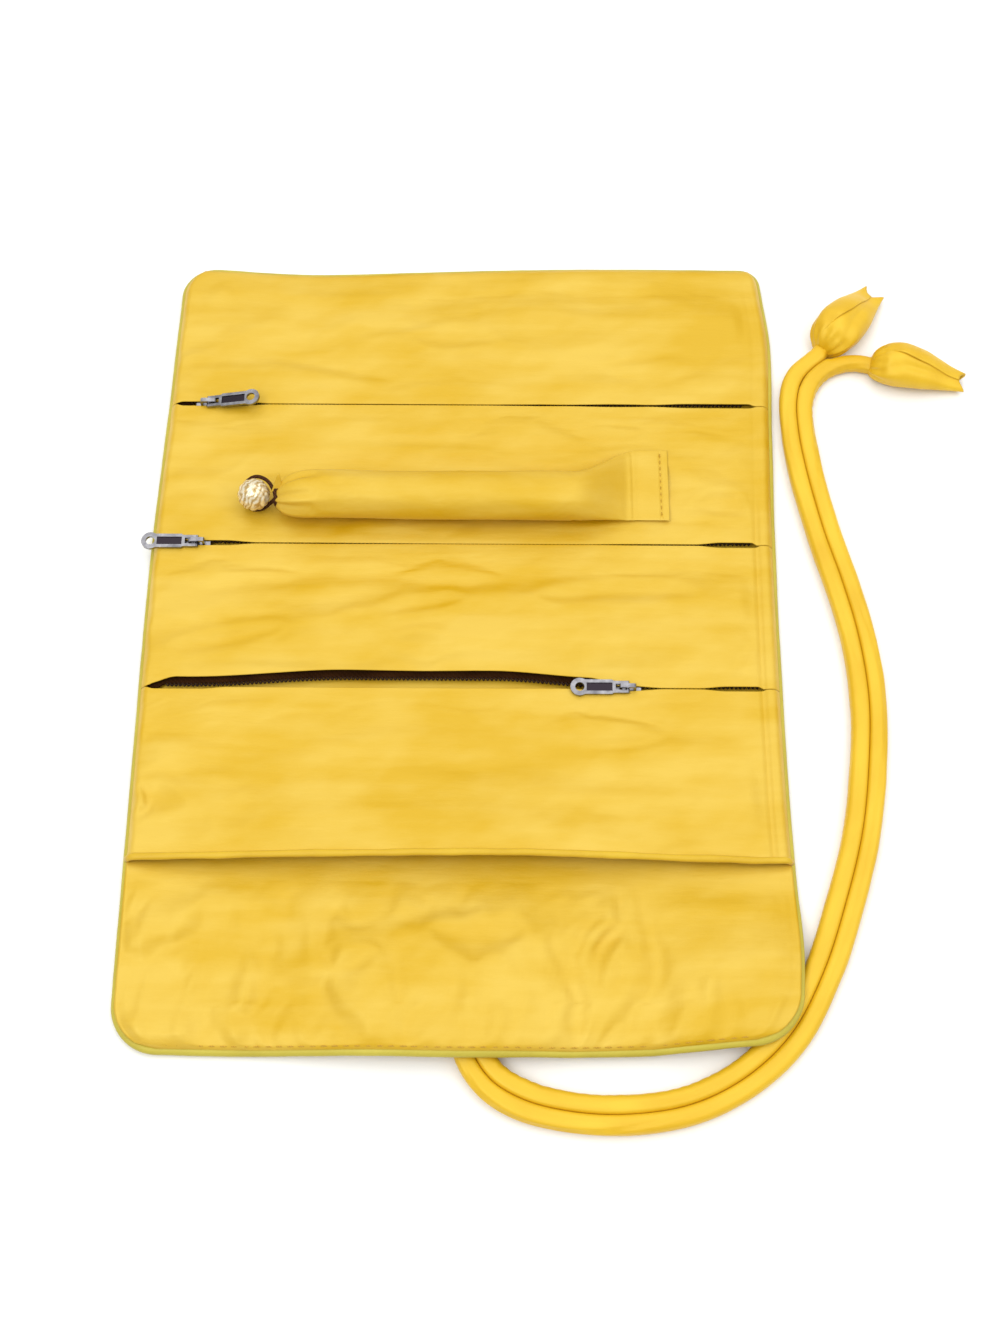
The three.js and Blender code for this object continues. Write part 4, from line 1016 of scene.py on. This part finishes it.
def crossing_front(panel, upper_zip, fold, crown, folds, seed, grow, amount, ceiling=None):
    """A front that runs from the zip above it over a fold down to its own zip, or to the hem."""
    zipped = panel in ZIPS
    high_line, low_line = ZIPS[upper_zip], ZIPS[panel] if zipped else HEM
    rows = fold_rows(high_line, fold, low_line, FINE_ROWS)[::-1]
    x, y = front_grid(edge_at(panel, True) if zipped else hem_line, edge_at(upper_zip, False), rows)
    zips = [high_line, low_line] if zipped else [high_line]
    top = ceiling(x, y) if ceiling else None
    grid, cloth = rolled(*pocket_front(x, y, crown(x, y), folds, seed, zips, grow, amount, top), False)
    if zipped:
        grid, cloth = rolled(grid, cloth, True)
    piece = finish_front(panel, grid, cloth)
    bend_at(piece)
    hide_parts(f"pocket_front_{panel}", f"pocket_lip_{panel}")
    return grid


RING_FOLDS = [
    (-91, 65, -15, 56, 0.45, 4.0), (-83, 38, -66, 34, 0.4, 2.6), (70, 62, 88, 60, 0.4, 3.0),
    (66, 33, 88, 41, 0.55, 4.0), (-88, 48, -70, 44, 0.4, 3.2), (-20, 62, 60, 61, -0.35, 3.2),
    (-60, 33, 20, 32, -0.3, 2.4),
]
MIDDLE_FOLDS = [
    (-88, -11, 5, 6, 1.5, 3.4), (-91, 13, 53, 14, -0.5, 3.6), (17, 6, 71, 9.5, 0.45, 4.0),
    (-84, -15, -40, -13, 0.45, 3.0), (40, -12, 86, -7, 0.5, 4.0), (-60, 2, -20, 8, -0.4, 3.0),
    (30, -2, 80, 1, -0.35, 3.0),
]
HEM_FOLDS = [
    (-92, -59, -66, -50, 0.55, 3.4), (-70, -68, -58, -59, 0.5, 3.0), (65, -61, 85, -56, 0.5, 3.2),
    (-88, -43, -47, -42, -0.4, 3.2), (28, -46, 81, -41, 0.45, 3.6), (-74, -69, -37, -73, 0.45, 2.8),
    (20, -66, 50, -72, 0.4, 3.0), (-30, -52, 20, -56, -0.35, 4.0),
]


def under_bolster(x, y):
    """Height that the ring pocket's front stays below: low where the bolster lies on it."""
    near = between(x, -74, 4, 69, 3) * between(y, 26, 4, 62, 3)
    return lerp(9.0, 6.1, smooth(near * 3))


def hem_line(x):
    """Plan of the hem: it dips a little at both sides."""
    return HEM + 1.3 + 0.4 * np.cos(x / 29.0)


def hem_crown(x, y):
    """The slip pocket gapes: its mouth stands up, most in the middle."""
    lift = quarter((MIDDLE_FOLD - y) / (MIDDLE_FOLD - HEM)) ** 2.5
    mouth = 1 - (np.asarray(x) / HALF) ** 2
    return (3.7 + 0.5 * np.sin(x / 17.0 + 1.0)) * mouth * lift


ring_crown, middle_crown = pillow(0.4, RING_ZIP, TOP_FOLD), pillow(2.4, MIDDLE_ZIP, RING_FOLD)
crossing_front("ring", "top", TOP_FOLD, ring_crown, RING_FOLDS, 23, (0.0015, 0.0025), 0.8, under_bolster)
crossing_front("middle", "ring", RING_FOLD, middle_crown, MIDDLE_FOLDS, 37, (0.0015, 0.002), 0.9)
hem_grid = crossing_front("hem", "middle", MIDDLE_FOLD, hem_crown, HEM_FOLDS, 53, (0.0015, 0.0015), 0.9)

# Bound edge of the slip pocket
hem_edge = hem_grid[0] - (0, 0.6, 0.15)
hem_edge[:, 0] = bowed(hem_edge[:, 0], hem_edge[:, 1])
hem_path = points_at(hem_edge, np.linspace(0, 1, len(hem_edge)), np.linspace(0, 1, 150))
HEM_LUMPS = waves(71, 20, 4, 30)
binding = oval(1.05, 0.85, lambda s, angle: 0.06 * HEM_LUMPS(s, 6 * np.cos(angle)))
hem_binding = tube_piece("hem_binding", hem_path, binding, BINDING, sides=14)
stand_in(hem_binding, "hem_panel", "hem_roll")


# Piping round the edge

PIPING_LUMPS = waves(101, 24, 5, 40)


def corner_arc(side, end, radius, start, stop):
    """Points round a corner of the piping: side -1 is the left, end -1 is the near end."""
    cx, cy = side * (PIPING_X - radius), end * (PIPING_Y - radius)
    angles = np.radians(np.linspace(start, stop, 12))
    return [(cx + radius * math.cos(a), cy + radius * math.sin(a)) for a in angles]


def piping(name, plan_points, fold, *nodes):
    points = np.array(plan_points, float)
    run = run_length(points)
    x, y = points_at(points, run, np.linspace(0, run[-1], int(run[-1] / PIPING_STEP) + 1)).T
    section = oval(PIPING_R, PIPING_R, lambda s, angle: (
        0.03 * PIPING_LUMPS(x[:, None] + 4 * np.cos(angle), y[:, None])
    ))
    path = lay(joined(x, y, PIPING_Z + rise(x, y)))
    piece = tube_piece(name, path, section, PIPING, sides=14, caps=False)
    bend_at(piece)
    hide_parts(*nodes)


far_corners = corner_arc(-1, 1, FAR_LEFT, 180, 90) + corner_arc(1, 1, SHARP, 90, 0)
piping("piping_far_fabric", [(-PIPING_X, RING_MID), *far_corners, (PIPING_X, RING_MID)], TOP_FOLD,
       "piping_far", "piping_left_ring", "piping_right_ring")
near_corners = corner_arc(-1, -1, ROUND, 180, 270) + corner_arc(1, -1, ROUND, -90, 0)
piping("piping_near_fabric", [(-PIPING_X, HEM_MID), *near_corners, (PIPING_X, HEM_MID)], HEM_FOLD,
       "piping_near", "piping_left_hem", "piping_right_hem")
for word, side_x in (("left", -PIPING_X), ("right", PIPING_X)):
    piping(f"piping_{word}_upper_fabric", [(side_x, RING_MID), (side_x, MIDDLE_MID)], RING_FOLD,
           f"piping_{word}_middle")
    piping(f"piping_{word}_lower_fabric", [(side_x, MIDDLE_MID), (side_x, HEM_MID)], MIDDLE_FOLD)

# Sewing along the near edge
SEAM_Y, SEAM_Z = NEAR + 0.8, 3.54
seam_x = np.linspace(-80, 80, 161)
near_seam = stitches("near_seam", lay(joined(seam_x, SEAM_Y, SEAM_Z + rise(seam_x, SEAM_Y))))
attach(near_seam, "flap")


# Zips

COIL_START, COIL_LENGTH, COIL_PITCH, COIL_TURN_POINTS = -88.6, 176.3, 1.25, 9
COIL_OFF, COIL_Z, COIL_HALF_WIDTH, COIL_HALF_HEIGHT, COIL_WIRE = 1.2, 3.9, 0.46, 0.27, 0.24
TAPE_START, TAPE_END, TAPE_Z, TAPE_CLOTH, TAPE_ROWS = -91.6, 88.4, 4.02, 0.32, 8
TAPE_REACH = {1: 8.85, -1: 6.85}


def drawn_away(zip_name, way, x):
    """How far a side of a zip is drawn away from its line: only the upper side of the open one is."""
    return open_bow(x) if zip_name == "middle" and way > 0 else 0 * x


def zip_coil(name, zip_name, way):
    """A nylon coil: one filament wound round and round beside the zip's line, above it for way 1."""
    turns = int(COIL_LENGTH / COIL_PITCH)
    t = np.arange(turns * COIL_TURN_POINTS + 1) / COIL_TURN_POINTS
    angle = 2 * np.pi * t + (np.pi if way < 0 else 0)
    x = COIL_START + COIL_PITCH * t
    y = ZIPS[zip_name] + way * (COIL_OFF + drawn_away(zip_name, way, x) + COIL_HALF_WIDTH * np.cos(angle))
    path = joined(x, y, COIL_Z + COIL_HALF_HEIGHT * np.sin(angle))
    section = oval(COIL_WIRE, COIL_WIRE, lambda s, angle: 0 * s)
    return tube_piece(name, path, section, COIL, sides=5)


def zip_tape(name, zip_name, way):
    x = np.linspace(TAPE_START, TAPE_END, 120)
    inner = 1.5 - 1.4 * smooth((-86.6 - x) / 1.6) + drawn_away(zip_name, way, x)
    share = np.linspace(0, 1, TAPE_ROWS)[::way, None]
    y = ZIPS[zip_name] + way * lerp(inner, TAPE_REACH[way], share)
    grid = joined(bowed(x, y), y, TAPE_Z + 0.05 * waves(131, 16, 6, 30)(x, y))
    piece = sheet_piece(name, grid, joined(x, y) * MM, TAPE)
    thicken(piece, TAPE_CLOTH)
    return piece


for zip_name, line in ZIPS.items():
    for word, way in (("upper", 1), ("lower", -1)):
        side = f"{word}_{zip_name}"
        stand_in(zip_coil(f"zip_coil_{side}_wound", zip_name, way), f"{zip_name}_panel", f"zip_coil_{side}")
        stand_in(zip_tape(f"zip_tape_{side}_woven", zip_name, way), f"{zip_name}_panel", f"zip_tape_{side}")
    dress(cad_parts[f"zip_slider_{zip_name}"], NICKEL)
    window = (SLIDER_X[zip_name], line, PULL_Z), PULL_TURN[zip_name]
    dress(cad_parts[f"zip_pull_{zip_name}"], nickel(f"nickel_pull_{zip_name}", window))


# Ring bolster: a stuffed sleeve, gathered at its free end, whose other end is flattened and sewn to the panel

BOLSTER_LEFT, BOLSTER_RIGHT, BOLSTER_Y, BOLSTER_Z = -57.8, 54.0, 38.0, 6.4
BOLSTER_WIDTH, BOLSTER_HEIGHT, BOLSTER_SIDES, BOLSTER_FILL = 15.6, 13.0, 72, 0.7
END_OUT, GATHER_RUN, SLEEVE_STEPS = 0.6, 18.6, 160
TAB_WIDTH, TAB_HEIGHT, TAB_SHIFT, TAB_SINK, TAB_RUN = 25.0, 0.6, 7.5, 0.22, 22
HINGE_X, HINGE_BEND, SEWN_END = 54.3, 3.2, 62.8
TAB_SEAM, TAB_SEAM_NEAR, TAB_SEAM_FAR, TAB_SEAM_Z = 60.4, 34.0, 57.0, 6.48
BOLSTER_FOLDS = waves(151, 40, 5, 26, 4.0)


def bolster():
    along = spread([
        (BOLSTER_LEFT - END_OUT, 0), (BOLSTER_LEFT + 12, 0.4), (BOLSTER_RIGHT - TAB_RUN, 1.0),
        (HINGE_X - 4, 0.8), (HINGE_X + 4, 0.4), (SEWN_END, 0.25),
    ])
    angle = circle(BOLSTER_SIDES)
    x = along[:, None]
    flat = smooth((x - BOLSTER_RIGHT + TAB_RUN) / TAB_RUN)
    closing = (1 - clamp01((x - BOLSTER_LEFT + END_OUT) / GATHER_RUN)) ** 3
    draw = np.sqrt(1 - 0.92 * closing)
    half_height = lerp(BOLSTER_HEIGHT, TAB_HEIGHT, flat) / 2
    half_width = lerp(BOLSTER_WIDTH, TAB_WIDTH, flat) / 2
    floor_z = lerp(BOLSTER_Z, BOLSTER_Z - TAB_SINK, flat)
    centre_y = BOLSTER_Y + TAB_SHIFT * flat - 0.7 * closing
    centre_z = floor_z + half_height - 1.3 * closing
    pleat = 0.12 * np.cos(8 * angle + 0.6) + 0.06 * np.cos(13 * angle + 2.0)
    pleat = 1 + pleat * hump(x - BOLSTER_LEFT, 11.0)
    round_run = angle * 7.0
    uneven = 1 + 0.02 * BOLSTER_FOLDS(x, round_run) * (1 - flat)
    y = centre_y + half_width * draw * pleat * uneven * np.cos(angle)
    z = centre_z + half_height * draw * pleat * uneven * np.sin(angle)
    grid = joined(x, y, np.maximum(z, floor_z))
    held = np.zeros(grid.shape[:2])
    held[:3] = 1
    held[along > BOLSTER_RIGHT - 2] = 1
    low = np.broadcast_to(floor_z, held.shape)
    high = np.full(held.shape, BOLSTER_Z + BOLSTER_HEIGHT + 0.2)
    grid = relax(grid, (0.005, 0.006), held, low, high, SLEEVE_STEPS, bend=0.2, wrap=True)
    grid[..., 2] -= 0.3 * hump(x - TAB_SEAM, 0.4) * clamp01(3 * np.sin(angle))
    faces = tube_faces(len(along), BOLSTER_SIDES)
    return make("bolster_fabric", grid, faces, SATIN, joined(x, round_run) * MM)


sleeve = bolster()
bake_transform(sleeve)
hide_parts("bolster_sleeve", "bolster_stuffing", "bolster_tab")

tab_line = joined(TAB_SEAM, np.linspace(TAB_SEAM_NEAR, TAB_SEAM_FAR, 60), TAB_SEAM_Z)
tab_seam = stitches("tab_seam", tab_line, length=1.5, pitch=2.3, radius=0.14)
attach(tab_seam, "ring_panel")

# Ear of the sleeve that stands up where it is gathered
EAR_X, EAR_Y, EAR_Z, EAR_CLOTH = -57.7, 39.2, 13.0, 0.5
t, u = np.linspace(0, 1, 14)[:, None], np.linspace(-1, 1, 11)
ear_grid = joined(
    EAR_X + 0.5 * t + (1.9 * (1 - t) ** 0.8 + 0.15) * u,
    EAR_Y + 3.2 * t - 0.9 * np.abs(u) * (1 - t),
    EAR_Z + 4.4 * t**1.2 + 0.8 * (1 - np.abs(u)) * (1 - t),
)
ear = sheet_piece("bolster_ear", ear_grid, ear_grid[..., :2] * MM, SATIN)
thicken(ear, EAR_CLOTH, 0.0)
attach(ear, "ring_bolster")

# Bead button: a lobed gold bead on a shank, whose profile is given as radius and height
BEAD_X, BEAD_Y, BEAD_Z, BEAD_R, BEAD_RINGS, BEAD_SIDES = -65.0, 38.0, 12.4, 5.0, 56, 110
SHANK = [(2.6, 6.3), (2.7, 6.6), (2.0, 6.9), (1.7, 7.4), (1.7, 7.9), (2.2, 8.2)]
SHANK_SIDES = 40


def bead():
    theta = np.linspace(0, np.pi, BEAD_RINGS)[:, None]
    phi = circle(BEAD_SIDES)
    lobe = np.abs(np.sin(5.5 * (phi - 0.42 * np.cos(theta)))) ** 0.7
    band = 0.5 + 0.5 * np.cos(14 * theta)
    shape = np.sin(theta) ** 0.5
    r = BEAD_R * (0.925 + 0.075 * lobe * shape - 0.018 * band * shape)
    ball = joined(BEAD_X + r * np.sin(theta) * np.cos(phi), BEAD_Y + r * np.sin(theta) * np.sin(phi),
                  BEAD_Z + r * np.cos(theta)).reshape(-1, 3)
    base = len(ball)
    turn = circle(SHANK_SIDES)
    shank = [joined(BEAD_X + w * np.cos(turn), BEAD_Y + w * np.sin(turn), height) for w, height in SHANK]
    faces = tube_faces(BEAD_RINGS, BEAD_SIDES, caps=False)
    faces += grid_faces(len(SHANK), SHANK_SIDES, wrap=True, start=base)
    faces.append(tuple(range(base, base + SHANK_SIDES))[::-1])
    return make("bead_relief", np.vstack([ball, *shank]), faces, GOLD, None)


stand_in(bead(), "ring_panel", "bead_button")

# Elastic: a loop round the bead, and the turns that are wound round the sleeve's gathered end
LOOP_POINTS = [
    (-58.6, 38.4, 12.9), (-60.2, 41.2, 13.9), (-62.4, 43.0, 13.9), (-65.0, 43.8, 13.2), (-67.6, 42.9, 11.6),
    (-69.0, 40.6, 9.4), (-68.2, 37.8, 7.6), (-65.8, 35.7, 7.4), (-63.0, 35.5, 7.9), (-60.4, 36.3, 9.8),
    (-58.8, 37.2, 11.0),
]
WOUND_X, WOUND_Y, WOUND_Z, WOUND_R, WOUND_TURNS, WOUND_WIDTH = -58.4, 37.4, 11.7, 2.35, 2.6, 1.3
ELASTIC_R = 0.58
turn = np.linspace(0, 2 * np.pi * WOUND_TURNS, 110)
wound_r = WOUND_R + 0.12 * np.sin(3 * turn)
wound_path = joined(WOUND_X + WOUND_WIDTH * turn / turn[-1] + 0.1 * np.sin(5 * turn),
                    WOUND_Y + wound_r * np.cos(turn + 0.5), WOUND_Z + wound_r * np.sin(turn + 0.5))


def elastic(name, path):
    section = oval(ELASTIC_R, ELASTIC_R, lambda s, angle: 0.05 * np.cos(6 * angle + 9 * s))
    return tube_piece(name, path, section, ELASTIC, sides=12, climbs=True)


stand_in(elastic("elastic_loop_braid", through(LOOP_POINTS, 12)), "ring_bolster", "elastic_loop")
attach(elastic("elastic_winding", wound_path), "ring_bolster")

# Tack: the cord ends are folded flat and sewn under the flap
TACK_LEFT, TACK_RIGHT, TACK_WIDTH, TACK_COLUMNS = -3.2, 8.3, 11.5, 24
TACK_NEAR, TACK_FAR, TACK_DEPTH, TACK_ROWS = -116.7, -106.2, 10.5, 26
SEWN_X, SEWN_Y = (-2.2, 7.3), (-115.4, -107.4)
tack_u, tack_v = np.linspace(0, 1, TACK_COLUMNS), np.linspace(0, 1, TACK_ROWS)[:, None]
tack_x, tack_y = lerp(TACK_LEFT, TACK_RIGHT, tack_u), lerp(TACK_NEAR, TACK_FAR, tack_v)
tack_top = rise(tack_x, tack_y) - 0.15
tack_low = lerp(0.1, tack_top - 1.2, smooth((tack_y - TACK_NEAR) / TACK_DEPTH))
ridge = 0.35 * np.cos(2 * np.pi * (tack_x - 2.55) / CORD_PITCH) + 0.12 * waves(171, 20, 2, 9)(tack_x, tack_y)
tack_low = np.clip(tack_low + 0.3 + ridge, 0.05, tack_top - 0.2)
from_side, from_end = np.minimum(tack_u, 1 - tack_u) * TACK_WIDTH, np.minimum(tack_v, 1 - tack_v) * TACK_DEPTH
tack_low = lerp(tack_top - 0.2, tack_low, quarter(np.minimum(from_side, from_end) / 1.2))
tack_grid = joined(tack_x, tack_y, tack_low)
tack_faces = grid_faces(TACK_ROWS, TACK_COLUMNS, flip=True)
tack = make("tie_tack_fabric", tack_grid, tack_faces, CORD, tack_grid[..., :2] * MM)
stand_in(tack, "flap", "tie_tack")
for k, (start, end) in enumerate([SEWN_Y, SEWN_Y[::-1]]):
    share = np.linspace(0, 1, 40)
    line_x, line_y = lerp(*SEWN_X, share), lerp(start, end, share)
    row = np.round((line_y - TACK_NEAR) / TACK_DEPTH * (TACK_ROWS - 1)).astype(int)
    column = np.round((line_x - TACK_LEFT) / TACK_WIDTH * (TACK_COLUMNS - 1)).astype(int)
    sewn = joined(line_x, line_y, tack_low[row, column])
    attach(stitches(f"tie_tack_seam_{k}", sewn, -0.1, length=1.2, pitch=1.9), "flap")


# Floor and light. Lamps are in metres and watts, and point at the origin.

FLOOR = 3000
paper = Shader("floor_paper")
grain = paper.noise(paper.solid((30, 30, 30)), 4)
paper.set(Base_Color=paper.mix(grain, (240, 240, 239), (246, 246, 245)), Roughness=0.9)
floor_corners = [(-FLOOR, -FLOOR, 0), (FLOOR, -FLOOR, 0), (FLOOR, FLOOR, 0), (-FLOOR, FLOOR, 0)]
make("floor", floor_corners, [(0, 1, 2, 3)], paper.material)

for name, place, size, power in (
    ("top", (-0.05, 0.62, 1.4), 1.7, 11.0),
    ("key", (-0.55, -0.5, 1.4), 0.9, 9.5),
    ("fill", (0.9, -0.1, 1.3), 1.2, 7.0),
):
    lamp = bpy.data.lights.new(name, "AREA")
    lamp.shape = "SQUARE"
    lamp.size = size
    lamp.energy = power
    back = np.array(place) / np.linalg.norm(place)
    side = np.cross([0, 1.0, 0], back)
    side /= np.linalg.norm(side)
    up = np.cross(back, side)
    turned = [[side[k], up[k], back[k], place[k]] for k in range(3)]
    add(name, lamp).matrix_world = Matrix(turned + [[0, 0, 0, 1]])
world = bpy.data.worlds.new("studio")
world.use_nodes = True
sky = world.node_tree.nodes["Background"].inputs
sky["Color"].default_value = (1, 1, 1, 1)
sky["Strength"].default_value = 0.6
bpy.context.scene.world = world
